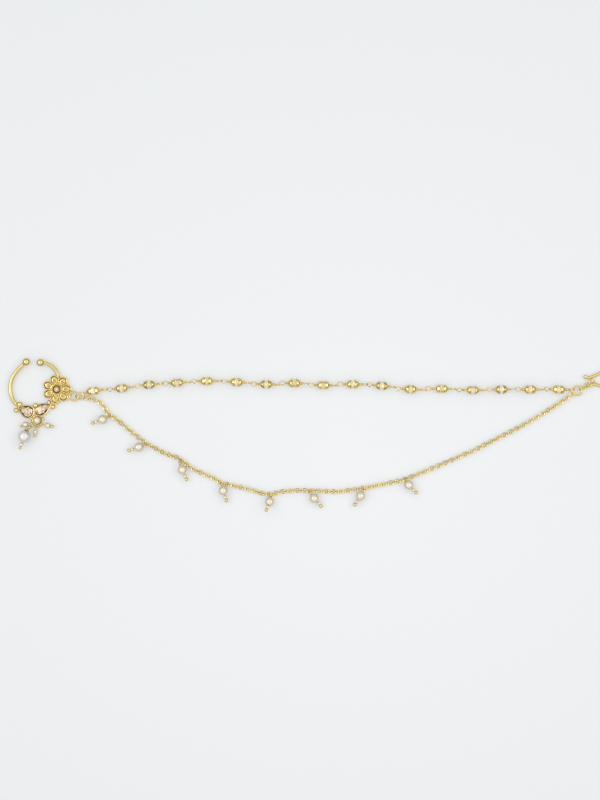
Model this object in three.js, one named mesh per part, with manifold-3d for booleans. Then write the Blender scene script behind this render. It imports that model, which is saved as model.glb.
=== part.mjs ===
// A nath: an open nose hoop with a flower, pear stones and pearl drops, joined to a hair hook by a
// crystal chain and a swag of fine cable chain. It lies face up, as on a table.
// Units are millimetres. X runs from the hoop to the hook, Y is away from the swag, Z is up.
import * as THREE from 'three';
import { mergeVertices } from 'three/addons/utils/BufferGeometryUtils.js';
import Module from 'manifold-3d';

// ---------------------------------------------------------------- driving dimensions
// Places on the plan are measured from the middle of the hoop, and heights from the table.

const GAP = 0.15;                                  // air between a piece and its neighbour
const PLAY = 0.4;                                  // how loosely a link hangs on its ring
const SOLDER = 0.3;                                // how far soldered metal runs into its neighbour
const HAIR = 0.001;                                // a distance too small to count
const BALL_ROWS = 0.6;                             // rows of a ball for each of its sides

const GOLD = { color: 0xd9a441, roughness: 0.25, metalness: 1.0 };
const PEARL = { color: 0xf1ebe0, roughness: 0.3, metalness: 0.0 };
const CHAMPAGNE = { color: 0xd8b49a, roughness: 0.08, metalness: 0.1 };
const CRYSTAL = { color: 0xe9e6dc, roughness: 0.05, metalness: 0.0 };

// The hoop's two arms, each from its ball end to where it is soldered down.
const HOOP = { wire: 1.65, ball: 3.65, sides: 8, steps: { left: 22, right: 12 } };
const HOOP_LEFT_ARM = [
  { degrees: 110.5, radius: 13.1 },
  { degrees: 120, radius: 12.5 },
  { degrees: 135, radius: 12.1 },
  { degrees: 175, radius: 12.2 },
  { degrees: 200, radius: 12.3 },
  { degrees: 224, radius: 12.2 },
];
const HOOP_RIGHT_ARM = [
  { degrees: 80.5, radius: 12.1 },
  { degrees: 64, radius: 12.5 },
  { degrees: 48, radius: 12.4 },
  { degrees: 33, radius: 12.0 },
  { degrees: 20, radius: 10.9 },
];

// The flower: oval petals with raised edges round a bezel that holds a round stone.
const FLOWER = { x: 9.7, y: -0.65, petals: 7, firstPetal: 105, petalReach: 4.3 };
const PETAL = { length: 4.7, width: 4.2, edge: 0.5, floor: 1.0, top: 1.8, corners: 16 };
const FLOWER_BEZEL = { outer: 4.2, floor: 1.2, top: 2.3, corners: 16 };
const FLOWER_STONE = { diameter: 3.2, top: 2.9 };
const ROUND_CUT = { foot: 0.7, girdle: 0.5, table: 0.65, crown: 0.9 }; // shares of radius and height

// The two pear settings. Heading is where the pointed tip looks.
const PEARS = {
  left: { x: -4.8, y: -10.75, length: 7.1, width: 5.2, heading: 156 },
  right: { x: 3.25, y: -9.7, length: 8.0, width: 4.7, heading: 29 },
};
const PEAR_BEZEL = { wall: 0.65, floor: 1.0, top: 2.0, corners: 22 };
const PEAR_STONE_TOP = 2.7;
const PEAR_TABLE = 0.6;                            // the stone's top as a share of its girdle
const PEAR_FULLNESS = 0.77;                        // greatest value of the pear curve below

// Balls soldered round the settings.
const GRANULES = [
  { x: -7.7, y: -7.7, diameter: 2.3 },
  { x: -9.4, y: -10.5, diameter: 2.2 },
  { x: -0.3, y: -8.3, diameter: 2.2 },
  { x: 7.9, y: -8.8, diameter: 2.0 },
  { x: 6.0, y: -6.7, diameter: 1.7 },
  { x: 10.2, y: -6.7, diameter: 1.5 },
  { x: -2.2, y: -14.5, diameter: 1.5 },
  { x: 3.1, y: -14.5, diameter: 1.5 },
];
const GRANULE_HEIGHT = 1.1; // lowest centre of a granule

// Oval tie plates that join the settings: between the pears, above the cup, and below the flower.
const TIES = [
  { x: -0.7, y: -10.7, length: 4.6, width: 1.2, heading: 80, top: 1.6 },
  { x: -0.3, y: -13.3, length: 3.4, width: 3.4, heading: 0, top: 1.0 },
  { x: 8.1, y: -7.3, length: 3.4, width: 1.8, heading: -70, top: 1.2 },
];

// The cup with its pearl, and the half ring below it that the four drops hang from.
const CUP = { x: 0.6, y: -15.2, diameter: 3.9, floor: 0.9, top: 1.9 };
const CUP_PEARL = 3.2;
const HANGER = { x: 0.3, y: -15.7, radius: 2.7, wire: 0.7, z: 1.1, from: 160, to: 380, step: 20 };
const EYE = { radius: 0.7, wire: 0.4 };

// Main drop and small drops. Seat is the eye's place round the hanger, in degrees.
const MAIN_DROP = {
  seat: 215, eye: 225, x: -5.4, y: -22.75, heading: -110,
  pearl: 5.9, pin: 0.7, neck: 0.77, seed: 2.0, ball: 1.5,
};
const SMALL_DROPS = [
  { name: 'left', seat: 190, heading: 200, reach: 2.9, seed: 2.8, ball: 1.3 },
  { name: 'centre', seat: 262, heading: -97, reach: 2.3, seed: 2.4, ball: 1.3 },
  { name: 'right', seat: 328, heading: -10, reach: 2.9, seed: 2.7, ball: 1.6 },
];
const SMALL_PIN = 0.5;

// The bail, rings and links.
const BAIL = { radius: 0.95, wire: 0.5, neck: 0.9, z: 1.45 };
const FLOWER_RING = { x: 17.7, y: -3.9, outer: 5.0, wire: 0.8, z: 1.45 };
const FLOWER_LINK = { heading: -8, reach: 5.25, width: 3.7, wire: 0.7, tilt: 52, z: 1.55 };
const END_RING = { x: 254.0, y: -1.3, outer: 5.15, wire: 0.8, z: 1.52 };
const END_LINK = { width: 3.0, wire: 0.6, tilt: 90, z: 1.52 };

// The crystal chain: where its thread starts, the middle of each bead, and where it ends.
const CRYSTAL_CHAIN = [
  [23.3, -2.4], [26.8, -1.4], [40.2, -0.1], [53.0, 1.5], [66.2, 2.4], [80.1, 3.2], [94.1, 2.7],
  [108.0, 1.7], [121.2, 2.2], [134.8, 1.3], [148.6, 1.7], [162.2, 1.0], [175.7, -0.6],
  [190.3, -0.4], [204.9, -1.0], [218.3, -0.7], [231.8, -0.7], [245.2, -0.7], [251.0, -1.1],
];
const THREAD = { diameter: 1.0, sides: 8, steps: 62 };
const BEAD = { diameter: 4.3, length: 3.6, bore: 1.6, end: 2.7, belly: 1.5, corners: 8 };
const CAP = { length: 1.4, wide: 3.3, narrow: 1.4, corners: 6 };

// The cable chain's route, from the flower's link to the end ring.
const SWAG = [
  [23.9, -4.8], [29.1, -6.3], [32.0, -9.2], [33.6, -11.9], [37.5, -14.6], [43.4, -19.6],
  [51.3, -25.8], [55.5, -28.1], [61.0, -31.0], [66.9, -33.1], [73.7, -38.1], [83.3, -42.4],
  [86.9, -44.6], [90.9, -45.5], [101.0, -47.9], [108.7, -49.9], [115.9, -48.6], [124.5, -48.1],
  [132.9, -48.3], [141.7, -48.6], [152.4, -47.2], [160.6, -45.7], [171.6, -43.2], [179.8, -40.2],
  [187.4, -37.1], [198.0, -32.5], [205.7, -29.2], [214.6, -24.6], [223.0, -20.4], [231.4, -15.8],
  [240.6, -10.3], [246.0, -6.8], [251.5, -3.0],
];
const CHAIN = { diameter: 2.0, sides: 8, steps: 52 };

// Pearls of the swag. Heading is where the pin's ball end points, rise how far that end climbs.
const SWAG_DROPS = [
  { x: 31.2, y: -14.8, heading: 199, rise: -5 },
  { x: 48.2, y: -27.8, heading: 198, rise: -5 },
  { x: 68.6, y: -38.4, heading: -66, rise: -5 },
  { x: 87.8, y: -48.2, heading: -72, rise: -5 },
  { x: 109.6, y: -53.4, heading: -112, rise: 36 },
  { x: 130.5, y: -51.8, heading: -49, rise: -5 },
  { x: 152.2, y: -50.7, heading: -123, rise: -5 },
  { x: 174.9, y: -45.6, heading: -46, rise: -5 },
];
const SWAG_DROP = { pearl: 4.4, bore: 1.1, pin: 0.7, seed: 1.8, ball: 1.5, tail: 0.35 };

// The hair hook: a wire from a flared tip, round a wide bend and back to an eye.
const HOOK = { wire: 1.4, steps: 34, sides: 8 };
const HOOK_BEND = { x: 269.9, y: 4.8, radius: 4.6, from: 105, to: -105, step: 30 };
const HOOK_TIP_SIDE = [[257.2, 5.65], [258.7, 4.95], [260.4, 5.05], [264.8, 7.0]];
const HOOK_EYE_SIDE = [[264.8, 1.05], [261.9, 1.8]];
const HOOK_EYE = { x: 260.8, y: 2.3, z: 1.52, radius: 1.15, wire: 1.0, tilt: 28 };

// ---------------------------------------------------------------- shapes and solids

const wasm = await Module();
wasm.setup();

const X_AXIS = new THREE.Vector3(1, 0, 0);
const Y_AXIS = new THREE.Vector3(0, 1, 0);
const radians = THREE.MathUtils.degToRad;

function polar(degrees, radius, z = 0) {
  const turn = radians(degrees);
  return new THREE.Vector3(radius * Math.cos(turn), radius * Math.sin(turn), z);
}

// A closed geometry as a solid that can be joined and cut.
function toSolid(geometry) {
  const bare = geometry.clone();
  bare.deleteAttribute('normal');
  bare.deleteAttribute('uv');
  const merged = mergeVertices(bare, 1e-4);
  const corners = merged.index.array;
  const kept = [];
  for (let i = 0; i < corners.length; i += 3) {
    const [a, b, c] = [corners[i], corners[i + 1], corners[i + 2]];
    if (a !== b && b !== c && c !== a) kept.push(a, b, c);
  }
  const mesh = new wasm.Mesh({
    numProp: 3,
    vertProperties: Float32Array.from(merged.attributes.position.array),
    triVerts: Uint32Array.from(kept),
  });
  return new wasm.Manifold(mesh);
}

function toGeometry(solid) {
  const mesh = solid.getMesh();
  const geometry = new THREE.BufferGeometry();
  geometry.setAttribute('position', new THREE.BufferAttribute(mesh.vertProperties, 3));
  geometry.setIndex(new THREE.BufferAttribute(mesh.triVerts, 1));
  geometry.computeVertexNormals();
  return geometry;
}

function joined(solids) {
  return solids.reduce((whole, solid) => whole.add(solid));
}

function outline(corners, pointAt) {
  const points = [];
  for (let i = 0; i < corners; i += 1) {
    points.push(pointAt((2 * Math.PI * i) / corners));
  }
  return new THREE.Shape(points);
}

function ovalOutline(length, width, corners) {
  return outline(corners, (t) => new THREE.Vector2((length / 2) * Math.cos(t), (width / 2) * Math.sin(t)));
}

function pearOutline(length, width, corners) {
  return outline(corners, (t) => {
    const swell = (Math.sin(t) * Math.sin(t / 2)) / PEAR_FULLNESS;
    return new THREE.Vector2((length / 2) * Math.cos(t), (width / 2) * swell);
  });
}

// An outline raised between two heights, turned and moved on the plan.
function slab(shape, low, high, place = { x: 0, y: 0 }) {
  const geometry = new THREE.ExtrudeGeometry(shape, { depth: high - low, bevelEnabled: false });
  geometry.rotateZ(radians(place.heading ?? 0));
  geometry.translate(place.x, place.y, low);
  return geometry;
}

function wireAlong(points, diameter, sides, steps) {
  const section = ovalOutline(diameter, diameter, sides);
  const path = new THREE.CatmullRomCurve3(points);
  return new THREE.ExtrudeGeometry(section, { steps, bevelEnabled: false, extrudePath: path });
}

function rod(from, to, diameter, sides = 8) {
  const along = new THREE.Vector3().subVectors(to, from);
  const geometry = new THREE.CylinderGeometry(diameter / 2, diameter / 2, along.length(), sides);
  const turn = new THREE.Quaternion().setFromUnitVectors(Y_AXIS, along.clone().normalize());
  geometry.applyQuaternion(turn);
  geometry.translate((from.x + to.x) / 2, (from.y + to.y) / 2, (from.z + to.z) / 2);
  return geometry;
}

function ball(centre, diameter, sides = 8) {
  const geometry = new THREE.SphereGeometry(diameter / 2, sides, Math.round(sides * BALL_ROWS));
  geometry.rotateX(Math.PI / 2);
  geometry.translate(centre.x, centre.y, centre.z);
  return geometry;
}

// A wire ring drawn out along X into an oval link. A link as long as it is wide stays round.
function link(length, width, wire, tubeSides = 6, corners = 16) {
  const geometry = new THREE.TorusGeometry((width - wire) / 2, wire / 2, tubeSides, corners);
  const stretch = (length - width) / 2;
  const position = geometry.attributes.position;
  for (let i = 0; i < position.count; i += 1) {
    const x = position.getX(i);
    if (Math.abs(x) > HAIR) position.setX(i, x + Math.sign(x) * stretch);
  }
  return geometry;
}

// A round bead threaded along X.
function bead(diameter, bore, sides, arcs) {
  const radius = diameter / 2;
  const edge = Math.acos(bore / diameter);
  const profile = [];
  for (let i = 0; i <= arcs; i += 1) {
    const turn = -edge + (2 * edge * i) / arcs;
    profile.push(new THREE.Vector2(radius * Math.cos(turn), radius * Math.sin(turn)));
  }
  profile.push(profile[0].clone());
  const geometry = new THREE.LatheGeometry(profile, sides);
  geometry.rotateZ(-Math.PI / 2);
  return geometry;
}

function makeMesh(name, solid, finish) {
  const mesh = new THREE.Mesh(toGeometry(solid), new THREE.MeshStandardMaterial(finish));
  mesh.name = name;
  return mesh;
}

// ---------------------------------------------------------------- nose ring

// The arm slopes down from its ball, which rests on the table, to the settings' backs.
function hoopArm(rows, steps) {
  const last = rows.length - 1;
  const points = rows.map((row, i) => {
    const lift = THREE.MathUtils.lerp(HOOP.ball, HOOP.wire + GAP, i / last) / 2;
    return polar(row.degrees, row.radius, lift);
  });
  return [wireAlong(points, HOOP.wire, HOOP.sides, steps), ball(points[0], HOOP.ball, 12)];
}

function petalPlace(index) {
  const heading = FLOWER.firstPetal + (360 / FLOWER.petals) * index;
  const offset = polar(heading, FLOWER.petalReach);
  return { x: FLOWER.x + offset.x, y: FLOWER.y + offset.y, heading };
}

function flowerBody() {
  const parts = [];
  for (let i = 0; i < FLOWER.petals; i += 1) {
    const petal = ovalOutline(PETAL.length, PETAL.width, PETAL.corners);
    parts.push(slab(petal, 0, PETAL.top, petalPlace(i)));
  }
  const rim = ovalOutline(FLOWER_BEZEL.outer, FLOWER_BEZEL.outer, FLOWER_BEZEL.corners);
  parts.push(slab(rim, 0, FLOWER_BEZEL.top, FLOWER));
  return parts;
}

function petalHollows() {
  const rim = ovalOutline(FLOWER_BEZEL.outer, FLOWER_BEZEL.outer, FLOWER_BEZEL.corners);
  const bezel = toSolid(slab(rim, 0, FLOWER_BEZEL.top + 1, FLOWER));
  const hollows = [];
  for (let i = 0; i < FLOWER.petals; i += 1) {
    const length = PETAL.length - 2 * PETAL.edge;
    const width = PETAL.width - 2 * PETAL.edge;
    const inner = ovalOutline(length, width, PETAL.corners);
    hollows.push(toSolid(slab(inner, PETAL.floor, PETAL.top + 1, petalPlace(i))).subtract(bezel));
  }
  return hollows;
}

function pearBody(pear) {
  const grow = 2 * PEAR_BEZEL.wall;
  const rim = pearOutline(pear.length + 2 * grow, pear.width + grow, PEAR_BEZEL.corners);
  return slab(rim, 0, PEAR_BEZEL.top, pear);
}

function pearHollow(pear) {
  const grow = 2 * GAP;
  const seat = pearOutline(pear.length + grow, pear.width + grow, PEAR_BEZEL.corners);
  return toSolid(slab(seat, PEAR_BEZEL.floor, PEAR_BEZEL.top + 1, pear));
}

function stoneHollow() {
  const width = FLOWER_STONE.diameter + 2 * GAP;
  const seat = ovalOutline(width, width, FLOWER_BEZEL.corners);
  return toSolid(slab(seat, FLOWER_BEZEL.floor, FLOWER_BEZEL.top + 1, FLOWER));
}

function granuleBalls() {
  return GRANULES.map((grain) => {
    const centre = new THREE.Vector3(grain.x, grain.y, Math.max(grain.diameter / 2, GRANULE_HEIGHT));
    return ball(centre, grain.diameter);
  });
}

function tiePlates() {
  return TIES.map((tie) => slab(ovalOutline(tie.length, tie.width, 12), 0, tie.top, tie));
}

function pearlCup() {
  const wall = ovalOutline(CUP.diameter, CUP.diameter, 16);
  const seatWidth = CUP_PEARL + 2 * GAP;
  const body = toSolid(slab(wall, 0, CUP.top, CUP));
  const seat = new THREE.SphereGeometry(seatWidth / 2, 16, 10);
  seat.rotateX(Math.PI / 2);
  seat.translate(CUP.x, CUP.y, CUP.floor + seatWidth / 2);
  return body.subtract(toSolid(seat));
}

function hangerRing() {
  const points = [];
  for (let degrees = HANGER.from; degrees <= HANGER.to; degrees += HANGER.step) {
    const offset = polar(degrees, HANGER.radius);
    points.push(new THREE.Vector3(HANGER.x + offset.x, HANGER.y + offset.y, HANGER.z));
  }
  return wireAlong(points, HANGER.wire, 8, 16);
}

function bailDirection() {
  return Math.atan2(FLOWER_RING.y - FLOWER.y, FLOWER_RING.x - FLOWER.x);
}

// The bail stands on edge, so that the ring's wire runs through it.
function bail() {
  const heading = bailDirection();
  const ringRadius = (FLOWER_RING.outer - FLOWER_RING.wire) / 2;
  const reach = Math.hypot(FLOWER_RING.x - FLOWER.x, FLOWER_RING.y - FLOWER.y) - ringRadius;
  const outer = 2 * BAIL.radius + BAIL.wire;
  const loop = link(outer, outer, BAIL.wire, 6, 12);
  loop.rotateX(Math.PI / 2);
  loop.rotateZ(heading);
  loop.translate(
    FLOWER.x + reach * Math.cos(heading),
    FLOWER.y + reach * Math.sin(heading),
    BAIL.z,
  );
  const along = new THREE.Vector3(Math.cos(heading), Math.sin(heading), 0);
  const centre = new THREE.Vector3(FLOWER.x, FLOWER.y, BAIL.z);
  const from = centre.clone().addScaledVector(along, FLOWER.petalReach - SOLDER);
  const to = centre.clone().addScaledVector(along, reach - BAIL.radius);
  return [loop, rod(from, to, BAIL.neck)];
}

function noseRing() {
  const shells = [
    ...hoopArm(HOOP_LEFT_ARM, HOOP.steps.left),
    ...hoopArm(HOOP_RIGHT_ARM, HOOP.steps.right),
    ...flowerBody(),
    pearBody(PEARS.left),
    pearBody(PEARS.right),
    ...tiePlates(),
    ...bail(),
  ];
  const hollows = [...petalHollows(), stoneHollow()];
  hollows.push(pearHollow(PEARS.left), pearHollow(PEARS.right));
  const plate = joined(shells.map(toSolid)).subtract(joined(hollows));
  const trims = [...granuleBalls().map(toSolid), toSolid(hangerRing()), pearlCup()];
  return joined([plate, ...trims]).subtract(joined([pearHollow(PEARS.left), pearHollow(PEARS.right)]));
}

// ---------------------------------------------------------------- stones

function flowerStone() {
  const radius = FLOWER_STONE.diameter / 2;
  const low = FLOWER_BEZEL.floor + GAP;
  const rise = FLOWER_STONE.top - low;
  const profile = [
    new THREE.Vector2(0, 0),
    new THREE.Vector2(radius * ROUND_CUT.foot, 0),
    new THREE.Vector2(radius, rise * ROUND_CUT.girdle),
    new THREE.Vector2(radius * ROUND_CUT.table, rise * ROUND_CUT.crown),
    new THREE.Vector2(0, rise),
  ];
  const geometry = new THREE.LatheGeometry(profile, 16);
  geometry.rotateX(Math.PI / 2);
  geometry.translate(FLOWER.x, FLOWER.y, low);
  return toSolid(geometry);
}

// A pear stone: straight at the girdle, drawn in to its table above.
function pearStone(pear) {
  const low = PEAR_BEZEL.floor + GAP;
  const girdle = PEAR_BEZEL.top;
  const shape = pearOutline(pear.length, pear.width, PEAR_BEZEL.corners);
  const crown = slab(shape, girdle, PEAR_STONE_TOP);
  const position = crown.attributes.position;
  for (let i = 0; i < position.count; i += 1) {
    if (position.getZ(i) > girdle + HAIR) {
      position.setX(i, position.getX(i) * PEAR_TABLE);
      position.setY(i, position.getY(i) * PEAR_TABLE);
    }
  }
  const stone = joined([toSolid(slab(shape, low, girdle)), toSolid(crown)]);
  return stone.rotate([0, 0, pear.heading]).translate([pear.x, pear.y, 0]);
}

// ---------------------------------------------------------------- drops on the hanger

// A small wire eye round the hanger, and the point where its stem leaves.
function hangerEye(seat, heading) {
  const offset = polar(seat, HANGER.radius);
  const centre = new THREE.Vector3(HANGER.x + offset.x, HANGER.y + offset.y, HANGER.z);
  const outer = 2 * EYE.radius + EYE.wire;
  const loop = link(outer, outer, EYE.wire, 6, 12);
  loop.rotateX(Math.PI / 2);
  loop.rotateZ(radians(heading));
  loop.translate(centre.x, centre.y, centre.z);
  const stem = centre.clone().add(polar(heading, EYE.radius));
  return { loop, centre, stem };
}

function mainDrop() {
  const radius = MAIN_DROP.pearl / 2;
  const along = polar(MAIN_DROP.heading, 1);
  const middle = new THREE.Vector3(MAIN_DROP.x, MAIN_DROP.y, radius);
  const neck = middle.clone().addScaledVector(along, -radius - SOLDER);
  const seat = hangerEye(MAIN_DROP.seat, MAIN_DROP.eye);
  const seedAt = middle.clone().addScaledVector(along, radius + GAP + MAIN_DROP.seed / 2);
  const ballAt = seedAt.clone().addScaledVector(along, (MAIN_DROP.seed + MAIN_DROP.ball) / 2 - GAP);
  const pin = joined([
    toSolid(seat.loop),
    toSolid(rod(seat.stem, neck, MAIN_DROP.pin)),
    toSolid(ball(neck, MAIN_DROP.neck)),
    toSolid(rod(neck, ballAt, MAIN_DROP.pin)),
    toSolid(ball(seedAt, MAIN_DROP.seed)),
    toSolid(ball(ballAt, MAIN_DROP.ball)),
  ]);
  const pearl = bead(MAIN_DROP.pearl, MAIN_DROP.pin + 3 * GAP, 16, 8);
  pearl.rotateZ(radians(MAIN_DROP.heading));
  pearl.translate(middle.x, middle.y, middle.z);
  return [
    makeMesh('main_drop_pearl', toSolid(pearl), PEARL),
    makeMesh('main_drop_pin', pin, GOLD),
  ];
}

function smallDrop(drop) {
  const seat = hangerEye(drop.seat, drop.heading);
  const seedAt = seat.centre.clone().add(polar(drop.heading, drop.reach));
  seedAt.z = Math.max(drop.seed / 2, HANGER.z);
  const along = new THREE.Vector3().subVectors(seedAt, seat.centre).normalize();
  const ballAt = seedAt.clone().addScaledVector(along, (drop.seed + drop.ball) / 2 + GAP);
  const pin = joined([
    toSolid(seat.loop),
    toSolid(rod(seat.stem, ballAt, SMALL_PIN, 6)),
    toSolid(ball(ballAt, drop.ball)),
  ]);
  const seed = bead(drop.seed, SMALL_PIN + 2 * GAP, 12, 6);
  seed.applyQuaternion(new THREE.Quaternion().setFromUnitVectors(X_AXIS, along));
  seed.translate(seedAt.x, seedAt.y, seedAt.z);
  return [
    makeMesh(`small_drop_seed_${drop.name}`, toSolid(seed), PEARL),
    makeMesh(`small_drop_pin_${drop.name}`, pin, GOLD),
  ];
}

function cupPearl() {
  const centre = new THREE.Vector3(CUP.x, CUP.y, CUP.floor + GAP + CUP_PEARL / 2);
  return makeMesh('cup_pearl', toSolid(ball(centre, CUP_PEARL, 12)), PEARL);
}

// ---------------------------------------------------------------- rings and links

// Lays a ring or link at a place, turned to its heading and tipped about its length.
function layLink(name, piece, place) {
  const mesh = makeMesh(name, toSolid(link(piece.length, piece.width, piece.wire)), GOLD);
  mesh.rotation.order = 'ZYX';
  mesh.rotation.set(radians(piece.tilt ?? 0), 0, radians(place.heading ?? 0));
  mesh.position.set(place.x, place.y, piece.z);
  return mesh;
}

function layRing(name, ring) {
  return layLink(name, { length: ring.outer, width: ring.outer, wire: ring.wire, z: ring.z }, ring);
}

// A link whose one end runs round the ring's wire; reach is how far its other end gets.
function linkFromRing(name, ring, piece, heading, reach) {
  const ringRadius = (ring.outer - ring.wire) / 2;
  const start = ringRadius - (ring.wire + piece.wire) / 2 - PLAY;
  const middle = polar(heading, (start + reach) / 2);
  const length = reach - start + piece.wire;
  const place = { x: ring.x + middle.x, y: ring.y + middle.y, heading };
  return layLink(name, { ...piece, length }, place);
}

function flowerLink() {
  return linkFromRing('flower_link', FLOWER_RING, FLOWER_LINK, FLOWER_LINK.heading, FLOWER_LINK.reach);
}

function endLink() {
  const across = HOOK_EYE.x - END_RING.x;
  const up = HOOK_EYE.y - END_RING.y;
  const heading = THREE.MathUtils.radToDeg(Math.atan2(up, across));
  return linkFromRing('end_link', END_RING, END_LINK, heading, Math.hypot(across, up));
}

// ---------------------------------------------------------------- crystal chain

const threadHeight = BEAD.diameter / 2;
const threadPoints = CRYSTAL_CHAIN.map(([x, y]) => new THREE.Vector3(x, y, threadHeight));
const threadCurve = new THREE.CatmullRomCurve3(threadPoints);

// The place of a bead on the thread, and the turn that lays its X along the thread.
function stopOnThread(stop) {
  const along = threadCurve.getTangent(stop / (threadPoints.length - 1));
  const turn = new THREE.Quaternion().setFromUnitVectors(X_AXIS, along);
  return { point: threadPoints[stop], along, turn };
}

function crystalBead() {
  const half = BEAD.length / 2;
  const profile = [
    new THREE.Vector2(BEAD.bore / 2, -half),
    new THREE.Vector2(BEAD.end / 2, -half),
    new THREE.Vector2(BEAD.diameter / 2, -BEAD.belly / 2),
    new THREE.Vector2(BEAD.diameter / 2, BEAD.belly / 2),
    new THREE.Vector2(BEAD.end / 2, half),
    new THREE.Vector2(BEAD.bore / 2, half),
    new THREE.Vector2(BEAD.bore / 2, -half),
  ];
  const geometry = new THREE.LatheGeometry(profile, BEAD.corners);
  geometry.rotateZ(-Math.PI / 2);
  return toSolid(geometry);
}

function crystals() {
  const solid = crystalBead();
  const count = CRYSTAL_CHAIN.length - 2;
  const meshes = [];
  for (let i = 1; i <= count; i += 1) {
    const { point, turn } = stopOnThread(i);
    const mesh = makeMesh(`crystal_${String(i).padStart(2, '0')}`, solid, CRYSTAL);
    mesh.position.copy(point);
    mesh.quaternion.copy(turn);
    meshes.push(mesh);
  }
  return meshes;
}

// A bead cap, wide beside the bead and narrow where the wire leaves it.
function beadCap(stop, side) {
  const { point, along } = stopOnThread(stop);
  const geometry = new THREE.CylinderGeometry(CAP.narrow / 2, CAP.wide / 2, CAP.length, CAP.corners);
  const outward = along.clone().multiplyScalar(side);
  geometry.applyQuaternion(new THREE.Quaternion().setFromUnitVectors(Y_AXIS, outward));
  const middle = point.clone().addScaledVector(outward, BEAD.length / 2 + GAP + CAP.length / 2);
  geometry.translate(middle.x, middle.y, middle.z);
  return toSolid(geometry);
}

function upperChain() {
  const solids = [toSolid(wireAlong(threadPoints, THREAD.diameter, THREAD.sides, THREAD.steps))];
  for (let stop = 1; stop < CRYSTAL_CHAIN.length - 1; stop += 1) {
    solids.push(beadCap(stop, -1), beadCap(stop, 1));
  }
  return makeMesh('upper_chain', joined(solids), GOLD);
}

// ---------------------------------------------------------------- swag

function lowerChain() {
  const points = SWAG.map(([x, y]) => new THREE.Vector3(x, y, CHAIN.diameter / 2));
  const tube = wireAlong(points, CHAIN.diameter, CHAIN.sides, CHAIN.steps);
  return makeMesh('lower_chain', toSolid(tube), GOLD);
}

// Pearl and headpin are made along X and share one turned group.
function swagDrop(drop, number) {
  const radius = SWAG_DROP.pearl / 2;
  const seedAt = new THREE.Vector3(radius + GAP + SWAG_DROP.seed / 2, 0, 0);
  const ballAt = new THREE.Vector3(seedAt.x + (SWAG_DROP.seed + SWAG_DROP.ball) / 2 - GAP, 0, 0);
  const tail = new THREE.Vector3(-radius - SWAG_DROP.tail, 0, 0);
  const pin = joined([
    toSolid(rod(tail, ballAt, SWAG_DROP.pin, 6)),
    toSolid(ball(seedAt, SWAG_DROP.seed)),
    toSolid(ball(ballAt, SWAG_DROP.ball)),
  ]);
  const group = new THREE.Group();
  group.rotation.order = 'ZYX';
  group.rotation.set(0, radians(-drop.rise), radians(drop.heading));
  group.position.set(drop.x, drop.y, radius);
  const pearl = toSolid(bead(SWAG_DROP.pearl, SWAG_DROP.bore, 12, 6));
  group.add(makeMesh(`chain_pearl_${number}`, pearl, PEARL));
  group.add(makeMesh(`chain_pin_${number}`, pin, GOLD));
  return group;
}

// ---------------------------------------------------------------- hair hook

function hairHook() {
  const points = HOOK_TIP_SIDE.map(([x, y]) => new THREE.Vector3(x, y, HOOK.wire / 2));
  for (let degrees = HOOK_BEND.from; degrees >= HOOK_BEND.to; degrees -= HOOK_BEND.step) {
    const offset = polar(degrees, HOOK_BEND.radius);
    points.push(new THREE.Vector3(HOOK_BEND.x + offset.x, HOOK_BEND.y + offset.y, HOOK.wire / 2));
  }
  points.push(...HOOK_EYE_SIDE.map(([x, y]) => new THREE.Vector3(x, y, HOOK.wire / 2)));
  const outer = 2 * HOOK_EYE.radius + HOOK_EYE.wire;
  const eye = link(outer, outer, HOOK_EYE.wire, 8, 12);
  eye.rotateX(radians(HOOK_EYE.tilt));
  eye.rotateZ(Math.atan2(HOOK_EYE.y - END_RING.y, HOOK_EYE.x - END_RING.x));
  eye.translate(HOOK_EYE.x, HOOK_EYE.y, HOOK_EYE.z);
  const tip = ball(points[0], HOOK.wire);
  const wire = wireAlong(points, HOOK.wire, HOOK.sides, HOOK.steps);
  return makeMesh('hair_hook', joined([wire, eye, tip].map(toSolid)), GOLD);
}

// ---------------------------------------------------------------- assembly

const nath = new THREE.Group();
nath.add(makeMesh('nose_ring', noseRing(), GOLD));
nath.add(makeMesh('flower_stone', flowerStone(), CHAMPAGNE));
nath.add(makeMesh('pear_stone_left', pearStone(PEARS.left), CHAMPAGNE));
nath.add(makeMesh('pear_stone_right', pearStone(PEARS.right), CHAMPAGNE));
nath.add(cupPearl());
nath.add(...mainDrop());
SMALL_DROPS.forEach((drop) => nath.add(...smallDrop(drop)));
nath.add(layRing('flower_jump_ring', FLOWER_RING));
nath.add(flowerLink());
nath.add(upperChain());
nath.add(...crystals());
nath.add(lowerChain());
SWAG_DROPS.forEach((drop, index) => nath.add(swagDrop(drop, index + 1)));
nath.add(layRing('end_jump_ring', END_RING));
nath.add(endLink());
nath.add(hairHook());

// The origin is the middle of the whole thing's footprint, on the table.
nath.updateMatrixWorld(true);
const box = new THREE.Box3().setFromObject(nath, true);
nath.position.set(-(box.min.x + box.max.x) / 2, -(box.min.y + box.max.y) / 2, -box.min.z);

const group = new THREE.Group();
group.add(nath);

export default group;
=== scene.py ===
import math

import bmesh
import bpy
from bpy.props import FloatProperty, FloatVectorProperty, IntProperty, PointerProperty
from mathutils import Matrix, Quaternion, Vector


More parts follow.
